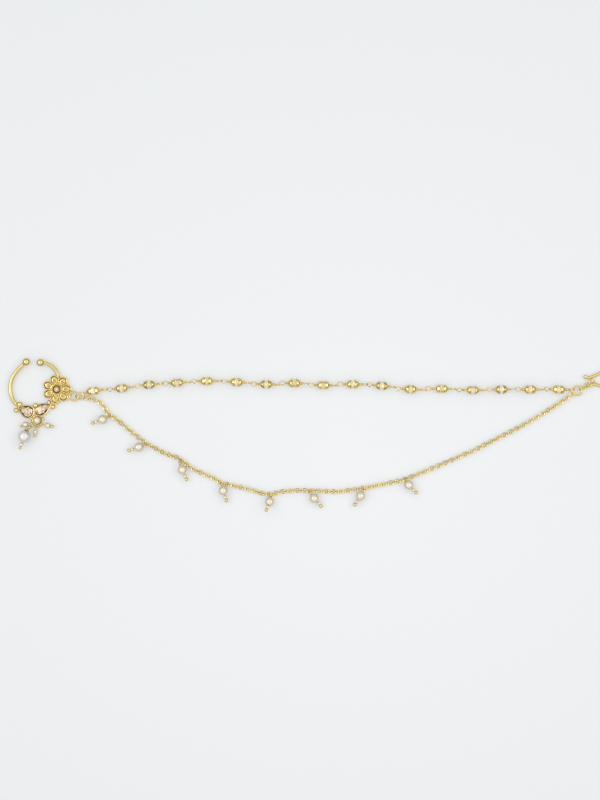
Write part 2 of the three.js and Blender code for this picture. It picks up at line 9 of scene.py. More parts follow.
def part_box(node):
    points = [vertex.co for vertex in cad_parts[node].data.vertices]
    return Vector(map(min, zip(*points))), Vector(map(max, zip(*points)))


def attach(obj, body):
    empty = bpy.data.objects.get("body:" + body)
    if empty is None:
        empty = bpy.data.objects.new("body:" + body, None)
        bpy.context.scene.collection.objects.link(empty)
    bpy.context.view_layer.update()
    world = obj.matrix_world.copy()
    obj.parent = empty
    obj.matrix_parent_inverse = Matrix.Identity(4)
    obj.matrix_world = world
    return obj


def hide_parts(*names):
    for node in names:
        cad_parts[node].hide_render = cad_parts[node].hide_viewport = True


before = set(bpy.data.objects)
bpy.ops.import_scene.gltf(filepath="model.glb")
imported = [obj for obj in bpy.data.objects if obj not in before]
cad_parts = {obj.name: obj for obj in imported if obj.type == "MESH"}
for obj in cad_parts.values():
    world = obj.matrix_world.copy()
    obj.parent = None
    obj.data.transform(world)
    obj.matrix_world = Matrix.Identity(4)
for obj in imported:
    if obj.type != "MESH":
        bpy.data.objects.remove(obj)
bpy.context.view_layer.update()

# Builds a nath: an open nose hoop with a flower, pear stones and pearl drops, joined to a hair hook
# by a crystal chain and a swag of cable chain. Lengths are metres in Blender; the tables below give
# millimetres, with places on the plan measured from the middle of the hoop and heights from the table.

bl_info = {
    "name": "Nath nose ring",
    "version": (1, 0, 0),
    "blender": (4, 5, 0),
    "location": "View3D > Sidebar > Nath",
    "description": "Builds a nath nose ring with its chains, pearls and hair hook round the packed frame",
    "category": "Add Mesh",
}

MM = 0.001
MERGE_DISTANCE = 1e-7
HARD_EDGE = math.radians(42)  # sharper turns than this stay hard on a smooth piece
FULL_TURN = 2 * math.pi
ROOT = "root"

# ------------------------------------------------------------------ places and shapes, in millimetres

FLOWER = {"x": 9.7, "y": -0.65, "first_petal": 105, "reach": 4.4}
FLOWER_BEZEL = {"radius": 2.1, "seat": 1.78, "floor": 1.2, "top": 2.3}
FLOWER_STONE = {"radius": 1.5, "low": 1.3, "girdle": 2.0, "top": 2.88, "corners": 8}

# The hoop's arms, each from its ball end to where it is soldered down: degrees round and radius.
HOOP_LEFT_ARM = [(110.5, 13.1), (120, 12.5), (135, 12.1), (175, 12.2), (200, 12.3), (224, 12.2)]
HOOP_RIGHT_ARM = [(80.5, 12.1), (64, 12.5), (48, 12.4), (33, 12.0), (20, 10.9)]

# The two pear settings. Heading is where the pointed tip looks.
PEARS = {
    "left": {"x": -4.8, "y": -10.75, "length": 7.1, "width": 5.2, "heading": 156},
    "right": {"x": 3.25, "y": -9.7, "length": 8.0, "width": 4.7, "heading": 29},
}
PEAR_FULLNESS = 0.77  # greatest value of the pear curve
PEAR_CORNERS = 9

# Balls soldered round the settings: x, y and diameter.
GRANULES = [
    (-7.7, -7.7, 2.7), (-9.4, -10.5, 2.4), (-0.3, -8.2, 2.5), (7.9, -8.8, 2.4),
    (6.0, -6.7, 1.9), (10.2, -6.7, 1.6), (-2.2, -14.5, 1.6), (3.1, -14.5, 1.6),
]
GRANULE_HEIGHT = 1.1

# Oval tie plates: x, y, length, width, heading and top.
TIES = [
    (-0.7, -10.7, 4.6, 1.2, 80, 1.6),
    (-0.3, -13.3, 3.4, 3.4, 0, 1.0),
    (8.1, -7.3, 3.4, 1.8, -70, 1.2),
]

CUP = {"x": 0.6, "y": -15.2, "lobes": 8, "pearl": 3.6, "lift": 0.22}
HANGER = {"x": 0.3, "y": -15.7, "radius": 2.7, "z": 1.1, "from": 160, "to": 380}
BAIL = {"radius": 0.95, "wire": 0.5, "z": 1.45}

# The drops: seat is the eye's place round the hanger in degrees, heading is where the pin points.
MAIN_DROP = {"seat": 215, "eye": 225, "heading": -110, "seed": 2.0, "ball": 1.5}
SMALL_DROPS = {
    "left": {"seat": 190, "seed": 2.8, "ball": 1.3},
    "centre": {"seat": 262, "seed": 2.4, "ball": 1.3},
    "right": {"seat": 328, "seed": 2.7, "ball": 1.6},
}

# Rings lie flat, cut open at a heading by a gap in degrees.
RINGS = {"flower_jump_ring": {"outer": 5.0, "cut": 60}, "end_jump_ring": {"outer": 5.15, "cut": 200}}
RING_GAP = 2.4

# A link is turned to its heading and tipped about its length. Count is how many links share its place.
LINKS = {
    "flower_link": {"length": 5.0, "width": 3.7, "wire": 0.7, "heading": -8, "tilt": 52, "count": 1},
    "end_link": {"length": 7.2, "width": 2.8, "wire": 0.85, "heading": 27.9, "tilt": 66, "count": 2},
}

# The crystal chain: its beads come from the frame, and these are its two ends.
CRYSTAL_COUNT = 17
CRYSTAL_START = (23.3, -2.4)
CRYSTAL_END = (251.0, -1.1)

# The cable chain's route, from the flower's link to the end ring, and the height it lies at.
SWAG = [
    (23.9, -4.8), (29.1, -6.3), (32.0, -9.2), (33.6, -11.9), (37.5, -14.6), (43.4, -19.6),
    (51.3, -25.8), (55.5, -28.1), (61.0, -31.0), (66.9, -33.1), (73.7, -38.1), (83.3, -42.4),
    (86.9, -44.6), (90.9, -45.5), (101.0, -47.9), (108.7, -49.9), (115.9, -48.6), (124.5, -48.1),
    (132.9, -48.3), (141.7, -48.6), (152.4, -47.2), (160.6, -45.7), (171.6, -43.2), (179.8, -40.2),
    (187.4, -37.1), (198.0, -32.5), (205.7, -29.2), (214.6, -24.6), (223.0, -20.4), (231.4, -15.8),
    (240.6, -10.3), (246.0, -6.8), (251.7, -2.85),
]
SWAG_HEIGHT = 1.15

# Pins of the swag's pearls: where the ball end points, and how far it climbs, in degrees.
SWAG_PINS = [
    (199, -5), (198, -5), (-66, -5), (-72, -5), (-112, 36), (-49, -5), (-123, -5), (-46, -5),
]
SWAG_DROP = {"pearl": 4.4, "seed": 1.8, "ball": 1.8, "gap": 0.15}

# The hair hook's wire: from its tip, round the bend and back to its eye.
HOOK_FLARE = [0.8, 1.08, 1.12, 1.12, 1.08, 1.04, 1.0, 0.98]  # how thick it is from the tip on
HOOK_TIP_SIDE = [(257.2, 5.65), (258.7, 4.95), (260.4, 5.05), (264.8, 7.0)]
HOOK_BEND = {"x": 269.9, "y": 4.8, "radius": 4.6}
HOOK_EYE_SIDE = [(264.8, 1.05), (261.9, 1.8)]
HOOK_EYE = {"x": 260.8, "y": 2.3, "z": 1.52, "radius": 1.15, "wire": 1.2, "tilt": 28, "heading": 27.9}

# What the camera sees from straight above, the softboxes, the sky's tones from the horizon (0) to
# overhead (1), and the round pool of light painted on the floor.
VIEW = {"x": 123.85, "y": -5.64, "tall": 376.0, "lens": 100.0, "sensor": 36.0}
SOFTBOX = {"aside": 620, "back": 60, "height": 620, "size": 460}
SOFTBOX_POWER = {"left softbox": (-1, 1.1), "right softbox": (1, 0.95)}  # its side and its watts
SKY = [
    (0.12, (0.05, 0.045, 0.035, 1)), (0.55, (0.98, 0.99, 1.0, 1)), (0.88, (0.98, 0.99, 1.0, 1)),
    (1.0, (0.74, 0.745, 0.75, 1)),
]
# The pool of light painted on the floor: its middle and how far it reaches, in millimetres.
PAINTED_LIGHT_POOL = {"middle": (150, -40), "reach": 420}


def middle_of(node):
    low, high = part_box(node)
    return (low + high) / 2


HUB = middle_of("flower_stone") - Vector((FLOWER["x"], FLOWER["y"], 0)) * MM


def spot(x, y, z=0.0):
    """A place in millimetres from the hoop's middle and above the table, as a point in the frame."""
    return Vector((HUB.x + x * MM, HUB.y + y * MM, z * MM))


def polar(degrees, radius, z=0.0):
    turn = math.radians(degrees)
    return Vector((radius * math.cos(turn), radius * math.sin(turn), z))


# ------------------------------------------------------------------ settings


def length(name, description, millimetres):
    return FloatProperty(
        name=name, description=description, default=millimetres * MM, min=0.0,
        precision=5, unit="LENGTH", subtype="DISTANCE",
    )


def colour(name, description, default):
    return FloatVectorProperty(
        name=name, description=description, default=default, min=0.0, max=1.0, size=4, subtype="COLOR",
    )


class NathSizes(bpy.types.PropertyGroup):
    hoop_wire: length("Hoop wire", "Thickness of the hoop's wire", 1.75)
    hoop_ball: length("Hoop ball", "Width of the balls on the hoop's ends", 3.65)
    petals: IntProperty(name="Petals", description="Petals of the flower", default=7, min=3, max=16)
    petal_length: length("Petal length", "Length of a petal, outwards", 5.0)
    petal_width: length("Petal width", "Width of a petal", 4.4)
    petal_rim: length("Petal rim", "Width of a petal's raised edge", 0.62)
    bezel_wall: length("Bezel wall", "Width of the rim round a pear stone", 0.62)
    hanger_wire: length("Hanger wire", "Thickness of the half ring below the cup", 0.98)
    ring_wire: length("Ring wire", "Thickness of the jump rings' wire", 0.9)
    pin_wire: length("Pin wire", "Thickness of the headpins", 0.5)
    eye_wire: length("Eye wire", "Thickness of the wire eyes between the crystals", 0.5)
    eye_length: length("Eye length", "Outer length of a wire eye between the crystals", 3.1)
    eye_width: length("Eye width", "Outer width of a wire eye between the crystals", 2.7)
    link_length: length("Chain link length", "Outer length of a cable chain link", 2.9)
    link_width: length("Chain link width", "Outer width of a cable chain link", 2.3)
    link_wire: length("Chain link wire", "Thickness of a cable chain link's wire", 0.6)
    hook_wire: length("Hook wire", "Thickness of the hair hook's wire", 1.55)


class NathColours(bpy.types.PropertyGroup):
    gold: colour("Gold", "Polished gold plate", (0.80, 0.655, 0.30, 1))
    gold_deep: colour("Deep gold", "Where the plate is richer", (0.68, 0.52, 0.18, 1))
    # Tarnish in the recesses of the metal, deepened by painted shade where they fall dark.
    tarnish_and_shade: colour("Recess", "Copper-brown tone down in the recesses", (0.30, 0.15, 0.05, 1))
    cream: colour("Pearl", "Main tone of the pearls", (0.78, 0.71, 0.54, 1))
    rose: colour("Pearl overtone", "Second tone of the pearls", (0.76, 0.65, 0.48, 1))
    white_pearl: colour("White pearl", "Main tone of the large pearl", (0.80, 0.77, 0.71, 1))
    silver: colour("White pearl overtone", "Second tone of the large pearl", (0.66, 0.64, 0.62, 1))
    # Painted shade: the pearls are darker low on their sides, from the top down to the waist.
    painted_pearl_shade: colour("Painted pearl shade", "Low on the sides of the pearls", (0.36, 0.32, 0.22, 1))
    # Painted reflections of the foil: each facet mixes from the light tone towards the dark one.
    champagne: colour("Champagne", "Lighter facets of the foiled stones", (0.92, 0.73, 0.48, 1))
    champagne_dark_reflection: colour("Deep champagne", "Darker facets of the foiled stones", (0.17, 0.075, 0.025, 1))
    crystal: colour("Crystal", "Tint of the clear beads", (0.93, 0.84, 0.60, 1))
    crystal_warm: colour("Warm crystal", "Second tint of the clear beads", (0.88, 0.71, 0.36, 1))
    # A pool of light painted on the floor: paler in its middle, darker further out.
    floor: colour("Floor", "The middle of the floor's paler patch", (0.445, 0.453, 0.458, 1))
    floor_edge: colour("Floor edge", "The floor beyond its paler patch", (0.37, 0.38, 0.38, 1))


# ------------------------------------------------------------------ node helpers


def put(tree, kind, sockets=None, **settings):
    """Adds a node, sets it up, and links or fills its inputs."""
    node = tree.nodes.new(kind)
    for name, value in settings.items():
        setattr(node, name, value)
    for name, value in (sockets or {}).items():
        if isinstance(value, bpy.types.NodeSocket):
            tree.links.new(value, node.inputs[name])
        else:
            node.inputs[name].default_value = value
    return node


def group(name, kind, inputs, outputs):
    """A node group with its named sockets, and the group's own inputs."""
    tree = bpy.data.node_groups.new(name, kind)
    for label, socket in inputs.items():
        tree.interface.new_socket(label, in_out="INPUT", socket_type=socket)
    for label, socket in outputs.items():
        tree.interface.new_socket(label, in_out="OUTPUT", socket_type=socket)
    return tree, tree.nodes.new("NodeGroupInput").outputs


def maths(tree, operation, a, b=0.0):
    return put(tree, "ShaderNodeMath", {0: a, 1: b}, operation=operation).outputs[0]


def grown(obj, tree, values):
    """The plain mesh that a geometry tree makes of an object."""
    modifier = obj.modifiers.new(tree.name, "NODES")
    modifier.node_group = tree
    for item in tree.interface.items_tree:
        if item.in_out == "INPUT" and item.name in values:
            modifier[item.identifier] = values[item.name]
    bpy.context.view_layer.update()
    seen = obj.evaluated_get(bpy.context.evaluated_depsgraph_get())
    mesh = bpy.data.meshes.new_from_object(seen)
    obj.modifiers.remove(modifier)
    return mesh


def helper(name, mesh):
    obj = bpy.data.objects.new(name, mesh)
    bpy.context.scene.collection.objects.link(obj)
    return obj


GEOMETRY = {"Geometry": "NodeSocketGeometry"}


def end_tree(tree, given, geometry):
    """Every geometry tree ends in real mesh with its material on."""
    real = put(tree, "GeometryNodeRealizeInstances", {"Geometry": geometry}).outputs["Geometry"]
    done = put(tree, "GeometryNodeSetMaterial", {"Geometry": real, "Material": given["Material"]})
    put(tree, "NodeGroupOutput", {"Geometry": done.outputs["Geometry"]})
    return tree


def circle_tree():
    """Parts round a circle, each with its X outwards."""
    tree, given = group("Parts round a circle", "GeometryNodeTree", {
        **GEOMETRY, "Part": "NodeSocketObject", "Count": "NodeSocketInt", "Radius": "NodeSocketFloat",
        "First Angle": "NodeSocketFloat", "Material": "NodeSocketMaterial",
    }, GEOMETRY)
    ring = put(tree, "GeometryNodeMeshCircle", {"Vertices": given["Count"], "Radius": given["Radius"]})
    part = put(tree, "GeometryNodeObjectInfo", {"Object": given["Part"]})
    place = put(tree, "GeometryNodeInputPosition")
    outwards = put(tree, "FunctionNodeAlignRotationToVector", {"Vector": place.outputs[0]},
                   axis="X", pivot_axis="Z")
    copies = put(tree, "GeometryNodeInstanceOnPoints", {
        "Points": ring.outputs["Mesh"], "Instance": part.outputs["Geometry"],
        "Rotation": outwards.outputs["Rotation"],
    })
    turn = put(tree, "ShaderNodeCombineXYZ", {"Z": given["First Angle"]})
    turned = put(tree, "GeometryNodeTransform", {
        "Geometry": copies.outputs["Instances"], "Rotation": turn.outputs[0],
    })
    return end_tree(tree, given, turned.outputs["Geometry"])


def station_tree():
    """A part at every point of a mesh, turned and sized by the point's own attributes."""
    tree, given = group("Parts at stations", "GeometryNodeTree", {
        **GEOMETRY, "Part": "NodeSocketObject", "Material": "NodeSocketMaterial",
    }, GEOMETRY)
    part = put(tree, "GeometryNodeObjectInfo", {"Object": given["Part"]})
    turn = put(tree, "GeometryNodeInputNamedAttribute", {"Name": "turn"}, data_type="FLOAT_VECTOR")
    size = put(tree, "GeometryNodeInputNamedAttribute", {"Name": "size"}, data_type="FLOAT")
    rotation = put(tree, "FunctionNodeEulerToRotation", {"Euler": turn.outputs["Attribute"]})
    copies = put(tree, "GeometryNodeInstanceOnPoints", {
        "Points": given["Geometry"], "Instance": part.outputs["Geometry"],
        "Rotation": rotation.outputs[0], "Scale": size.outputs["Attribute"],
    })
    return end_tree(tree, given, copies.outputs["Instances"])


def chain_tree():
    """Oval links along a path, every second one about a quarter turn round, all swaying a little."""
    tree, given = group("Cable chain", "GeometryNodeTree", {
        **GEOMETRY, "Length": "NodeSocketFloat", "Width": "NodeSocketFloat", "Wire": "NodeSocketFloat",
        "Turn": "NodeSocketFloat", "Lean": "NodeSocketFloat", "Sway": "NodeSocketFloat",
        "Seed": "NodeSocketInt", "Material": "NodeSocketMaterial",
    }, GEOMETRY)
    path = put(tree, "GeometryNodeMeshToCurve", {"Mesh": given["Geometry"]}).outputs["Curve"]
    pitch = maths(tree, "SUBTRACT", given["Length"], maths(tree, "MULTIPLY", given["Wire"], 2.0))
    run = put(tree, "GeometryNodeCurveLength", {"Curve": path}).outputs[0]
    spans = maths(tree, "ROUND", maths(tree, "DIVIDE", run, pitch))
    count = maths(tree, "ADD", spans, 1.0)
    points = put(tree, "GeometryNodeCurveToPoints", {"Curve": path, "Count": count})

    middle = maths(tree, "MULTIPLY", maths(tree, "SUBTRACT", given["Width"], given["Wire"]), 0.5)
    loop = put(tree, "GeometryNodeCurvePrimitiveCircle", {"Resolution": 20, "Radius": middle})
    place = put(tree, "ShaderNodeSeparateXYZ", {0: put(tree, "GeometryNodeInputPosition").outputs[0]})
    half = maths(tree, "MULTIPLY", maths(tree, "SUBTRACT", given["Length"], given["Width"]), 0.5)
    shift = maths(tree, "MULTIPLY", maths(tree, "SIGN", place.outputs["X"]), half)
    offset = put(tree, "ShaderNodeCombineXYZ", {"X": shift}).outputs[0]
    drawn = put(tree, "GeometryNodeSetPosition", {"Geometry": loop.outputs["Curve"], "Offset": offset})
    section = put(tree, "GeometryNodeCurvePrimitiveCircle", {
        "Resolution": 8, "Radius": maths(tree, "MULTIPLY", given["Wire"], 0.5),
    })
    link = put(tree, "GeometryNodeCurveToMesh", {
        "Curve": drawn.outputs["Geometry"], "Profile Curve": section.outputs["Curve"],
    })

    along = put(tree, "FunctionNodeAlignRotationToVector", {"Vector": points.outputs["Tangent"]},
                axis="X", pivot_axis="Z")
    number = put(tree, "GeometryNodeInputIndex").outputs[0]
    quarter = maths(tree, "MULTIPLY", maths(tree, "MODULO", number, 2.0), given["Turn"])
    chance = put(tree, "FunctionNodeRandomValue", {"Seed": given["Seed"]}, data_type="FLOAT")
    sway = maths(tree, "MULTIPLY", maths(tree, "SUBTRACT", chance.outputs[1], 0.5), given["Sway"])
    roll = maths(tree, "ADD", maths(tree, "ADD", quarter, given["Lean"]), sway)
    twist = put(tree, "ShaderNodeCombineXYZ", {"X": roll})
    turn = put(tree, "FunctionNodeEulerToRotation", {"Euler": twist.outputs[0]})
    rolled = put(tree, "FunctionNodeRotateRotation", {
        "Rotation": along.outputs["Rotation"], "Rotate By": turn.outputs[0],
    }, rotation_space="LOCAL")
    links = put(tree, "GeometryNodeInstanceOnPoints", {
        "Points": points.outputs["Points"], "Instance": link.outputs["Mesh"],
        "Rotation": rolled.outputs["Rotation"],
    })
    return end_tree(tree, given, links.outputs["Instances"])


def coil_tree():
    """Wire wound round a stem that stands on Z."""
    tree, given = group("Wound wire", "GeometryNodeTree", {
        **GEOMETRY, "Turns": "NodeSocketFloat", "Radius": "NodeSocketFloat", "Wire": "NodeSocketFloat",
        "Height": "NodeSocketFloat", "Material": "NodeSocketMaterial",
    }, GEOMETRY)
    spiral = put(tree, "GeometryNodeCurveSpiral", {
        "Resolution": 14, "Rotations": given["Turns"], "Start Radius": given["Radius"],
        "End Radius": given["Radius"], "Height": given["Height"],
    })
    section = put(tree, "GeometryNodeCurvePrimitiveCircle", {
        "Resolution": 8, "Radius": maths(tree, "MULTIPLY", given["Wire"], 0.5),
    })
    wire = put(tree, "GeometryNodeCurveToMesh", {
        "Curve": spiral.outputs["Curve"], "Profile Curve": section.outputs["Curve"], "Fill Caps": True,
    })
    return end_tree(tree, given, wire.outputs["Mesh"])


TREES = {"circle": circle_tree, "stations": station_tree, "chain": chain_tree, "coil": coil_tree}
_trees = {}


def tree_for(name):
    if name not in _trees:
        _trees[name] = TREES[name]()
    return _trees[name]


# ------------------------------------------------------------------ mesh helpers


class Shell:
    """Closed forms gathered into one mesh. Each point carries a share of tarnish and painted shade: down in
    the recesses of the metal, and low on the sides of the pearls.
    """

    def __init__(self):
        self.points = []
        self.faces = []
        self.depth = []

    def add(self, form, place=None, depth=None):
        points, faces = form
        place = place or Matrix.Identity(4)
        start = len(self.points)
        self.points.extend(place @ Vector(p) for p in points)
        self.faces.extend([start + i for i in face] for face in faces)
        self.depth.extend(depth or [0.0] * len(points))
        return self

    def add_bead(self, form, place):
        """A bead that lies on the table. Its painted shade grows from its top down to its waist."""
        heights = [(place @ Vector(p)).z - place.translation.z for p in form[0]]
        top = max(heights)
        return self.add(form, place, [min(1.0, 1 - h / top) ** 1.5 for h in heights])

    def add_mesh(self, mesh, place=None):
        found = mesh.attributes.get("depth")
        depth = [row.value for row in found.data] if found else None
        points = [v.co.copy() for v in mesh.vertices]
        faces = [list(p.vertices) for p in mesh.polygons]
        bpy.data.meshes.remove(mesh)
        return self.add((points, faces), place, depth)

    def mesh(self, name):
        made = bpy.data.meshes.new(name)
        made.from_pydata([p[:] for p in self.points], [], self.faces)
        made.attributes.new("depth", "FLOAT", "POINT").data.foreach_set("value", self.depth)
        return made

    def make_piece(self, name, finish, replaced=()):
        """Puts the mesh into the frame in a finish."""
        return piece(name, self.mesh(name), material(finish), replaced)


def loft(rings, loop=False):
    """Faces between rings of points. A ring of one point is a pole; an open end is closed flat."""
    points, faces, starts = [], [], []
    for ring in rings:
        starts.append(len(points))
        points.extend(ring)
    pairs = list(zip(range(len(rings)), range(1, len(rings))))
    if loop:
        pairs.append((len(rings) - 1, 0))
    for a, b in pairs:
        count_a, count_b = len(rings[a]), len(rings[b])
        for i in range(max(count_a, count_b)):
            j = (i + 1) % max(count_a, count_b)
            if count_a == 1:
                faces.append([starts[a], starts[b] + i, starts[b] + j])
            elif count_b == 1:
                faces.append([starts[a] + i, starts[b], starts[a] + j])
            else:
                faces.append([starts[a] + i, starts[b] + i, starts[b] + j, starts[a] + j])
    if not loop:
        for index in (0, len(rings) - 1):
            if len(rings[index]) > 1:
                faces.append([starts[index] + i for i in range(len(rings[index]))])
    return points, faces


def facets(rings):
    """Triangles between rings that stand half a step round from each other, closed flat at both ends."""
    count = len(rings[0])
    points = [p for ring in rings for p in ring]
    faces = [list(range(count)), [len(points) - count + i for i in range(count)]]
    for k in range(len(rings) - 1):
        a, b = k * count, (k + 1) * count
        low, high = (a, b) if k % 2 == 0 else (b, a)
        for i in range(count):
            j = (i + 1) % count
            faces.append([low + i, low + j, high + i])
            faces.append([high + i, high + j, low + j])
    return points, faces


def revolve(profile, segments, lobes=0, reach=0.0, swell=0.0):
    """Rows of (along, radius, lobe share) in millimetres, turned about X. The share scallops a row."""
    rings = []
    for row in profile:
        along, radius = row[0], row[1]
        share = row[2] if len(row) > 2 else 0.0
        if radius == 0:
            rings.append([Vector((along, 0, 0)) * MM])
            continue
        ring = []
        for i in range(segments):
            turn = FULL_TURN * i / segments
            crest = math.cos(lobes * turn)
            x = along + share * reach * (1 - crest) / 2
            r = radius + share * swell * crest
            ring.append(Vector((x, r * math.sin(turn), r * math.cos(turn))) * MM)
        rings.append(ring)
    return loft(rings, loop=profile[0][1] > 0)


def by_row(depths, rows, column, corners):
    """A share of tarnish and painted shade for every point of a form, from one for each row. A row that is 0
    in the column is a pole.
    """
    return [d for d, row in zip(depths, rows) for _ in range(corners if row[column] else 1)]


def stack(outline, rows):
    """Rings shaped like an outline, in millimetres: (share of the way out, how much further out, height)."""
    outwards = offsets(outline)
    rings = []
    for share, extra, height in rows:
        if share == 0:
            rings.append([Vector((0, 0, height)) * MM])
        else:
            rings.append([
                Vector((p.x * share + n.x * extra, p.y * share + n.y * extra, height)) * MM
                for p, n in zip(outline, outwards)
            ])
    return loft(rings)


def offsets(outline):
    """For each corner of a plan outline, the step that moves both its edges out by one."""
    steps = []
    for i, point in enumerate(outline):
        before = (point - outline[i - 1]).normalized()
        after = (outline[(i + 1) % len(outline)] - point).normalized()
        first, second = Vector((before.y, -before.x)), Vector((after.y, -after.x))
        between = (first + second).normalized()
        steps.append(between / max(between.dot(first), 0.5))
    return steps


def oval(length_mm, width_mm, corners):
    turns = [FULL_TURN * i / corners for i in range(corners)]
    return [Vector((length_mm / 2 * math.cos(t), width_mm / 2 * math.sin(t))) for t in turns]


def pear_point(pear, t, share=1.0):
    swell = math.sin(t) * math.sin(t / 2) / PEAR_FULLNESS
    return Vector((pear["length"] / 2 * math.cos(t), pear["width"] / 2 * swell)) * share


def smooth_route(points, steps):
    """Points on a smooth curve through the given ones, with some steps to each span."""
    ends = [2 * points[0] - points[1], *points, 2 * points[-1] - points[-2]]
    route = []
    for a, b, c, d in zip(ends, ends[1:], ends[2:], ends[3:]):
        for k in range(steps):
            t = k / steps
            bend = (2 * a - 5 * b + 4 * c - d) * t ** 2 + (3 * b - a - 3 * c + d) * t ** 3
            route.append((2 * b + (c - a) * t + bend) / 2)
    return [*route, points[-1]]


def sweep(route, radii, sides=16, loop=False):
    """A round wire along a route. Radii is one radius, or one for each point."""
    if not isinstance(radii, list):
        radii = [radii] * len(route)
    rings, side = [], None
    for i, point in enumerate(route):
        before = route[i - 1] if i or loop else point
        after = route[(i + 1) % len(route)] if i + 1 < len(route) or loop else point
        along = (after - before).normalized()
        if side is None:
            side = along.cross(Vector((0.21, 0.13, 0.97))).normalized()
        side = (side - along * side.dot(along)).normalized()
        up = along.cross(side)
        turns = [FULL_TURN * k / sides for k in range(sides)]
        rings.append([point + (side * math.cos(t) + up * math.sin(t)) * radii[i] for t in turns])
    return loft(rings, loop)


def loop_route(length_mm, width_mm, wire_mm, corners=28, gap_degrees=0.0):
    """The middle line of an oval link in the XY plane, cut open at +X if it has a gap."""
    radius = (width_mm - wire_mm) / 2
    stretch = (length_mm - width_mm) / 2
    opening = math.radians(gap_degrees)
    count = corners + 1 if gap_degrees else corners
    route = []
    for i in range(count):
        turn = opening / 2 + (FULL_TURN - opening) * i / corners
        x = radius * math.cos(turn)
        route.append(Vector((x + math.copysign(stretch, x), radius * math.sin(turn), 0)) * MM)
    return route


def wire_loop(length_mm, width_mm, wire_mm, sides=10, corners=28, gap_degrees=0.0):
    route = loop_route(length_mm, width_mm, wire_mm, corners, gap_degrees)
    return sweep(route, wire_mm / 2 * MM, sides, loop=not gap_degrees)


def wire_ring(outer_mm, wire_mm, sides=10, corners=28, gap_degrees=0.0):
    return wire_loop(outer_mm, outer_mm, wire_mm, sides, corners, gap_degrees)


def ball_form(diameter, segments=20, rows=12):
    turns = [math.pi * i / rows for i in range(rows + 1)]
    profile = [(-diameter / 2 * math.cos(t), diameter / 2 * math.sin(t)) for t in turns]
    profile[0], profile[-1] = (-diameter / 2, 0), (diameter / 2, 0)
    return revolve(profile, segments)


def bead_form(diameter, bore, segments=32, rows=18, lobes=0, swell=0.0):
    """A drilled bead threaded along X, very slightly out of round where lobes are given."""
    edge = math.acos(bore / diameter)
    turns = [-edge + 2 * edge * i / rows for i in range(rows + 1)]
    profile = [(diameter / 2 * math.sin(t), diameter / 2 * math.cos(t), math.cos(t)) for t in turns]
    return revolve(profile, segments, lobes, 0.0, swell)


UPRIGHT = Matrix.Rotation(-math.pi / 2, 4, "Y")


def lay(place, along, roll=0.0):
    """Puts a form whose X is its length at a place, along a direction, rolled about it in degrees."""
    turn = along.to_track_quat("X", "Z") @ Quaternion((1, 0, 0), math.radians(roll))
    return Matrix.Translation(place) @ turn.to_matrix().to_4x4()


def plan(x, y, heading=0.0, z=0.0):
    return Matrix.Translation(spot(x, y, z)) @ Matrix.Rotation(math.radians(heading), 4, "Z")


def coil(turns, radius_mm, wire_mm, height_mm):
    """A wound wire as a mesh, standing on Z from the origin."""
    stem = helper("coil_stem", bpy.data.meshes.new("coil_stem"))
    mesh = grown(stem, tree_for("coil"), {
        "Turns": turns, "Radius": radius_mm * MM, "Wire": wire_mm * MM, "Height": height_mm * MM,
        "Material": material("gold"),
    })
    bpy.data.objects.remove(stem)
    return mesh


def copies_at(name, part, stations, finish):
    """The joined mesh of a part at each station: (matrix, size)."""
    mesh = bpy.data.meshes.new(name)
    mesh.from_pydata([matrix.translation[:] for matrix, _ in stations], [], [])
    turns = [x for matrix, _ in stations for x in matrix.to_euler()]
    mesh.attributes.new("turn", "FLOAT_VECTOR", "POINT").data.foreach_set("vector", turns)
    mesh.attributes.new("size", "FLOAT", "POINT").data.foreach_set("value", [s for _, s in stations])
    base, source = helper(name, mesh), helper(name + "_part", part)
    made = grown(base, tree_for("stations"), {"Part": source, "Material": finish})
    bpy.data.objects.remove(base)
    bpy.data.objects.remove(source)
    return made


def piece(name, mesh, finish, replaced=(), faceted=False):
    """Cleans a mesh, shades it and puts it into the frame as a piece of the object."""
    work = bmesh.new()
    work.from_mesh(mesh)
    bmesh.ops.remove_doubles(work, verts=work.verts, dist=MERGE_DISTANCE)
    bmesh.ops.recalc_face_normals(work, faces=work.faces)
    work.to_mesh(mesh)
    work.free()
    if faceted:
        mesh.shade_flat()
    else:
        mesh.shade_smooth()
        mesh.set_sharp_from_angle(angle=HARD_EDGE)
    mesh.name = name
    mesh.materials.clear()
    mesh.materials.append(finish)
    obj = helper(name, mesh)
    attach(obj, ROOT)
    if replaced:
        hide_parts(*replaced)
    return obj


# ------------------------------------------------------------------ materials

# The polish of each finish: scales of its waves and scratches, roughness from low to high, and its bump
# in millimetres with how strongly it shows.
POLISH = {
    "gold": {"waves": 420, "scratches": 2600, "low": 0.12, "high": 0.24, "bump": 0.05, "strength": 0.35},
    "pearl": {"waves": 420, "scratches": 600, "low": 0.28, "high": 0.4, "bump": 0.02, "strength": 0.03},
    "stone": {"waves": 900, "scratches": 2400, "low": 0.05, "high": 0.14, "bump": 0.01, "strength": 0.1},
    "crystal": {"waves": 300, "scratches": 2000, "low": 0.01, "high": 0.05, "bump": 0.01, "strength": 0.1},
    "floor": {"waves": 3, "scratches": 900, "low": 0.75, "high": 0.9, "bump": 0.02, "strength": 0.1},
}


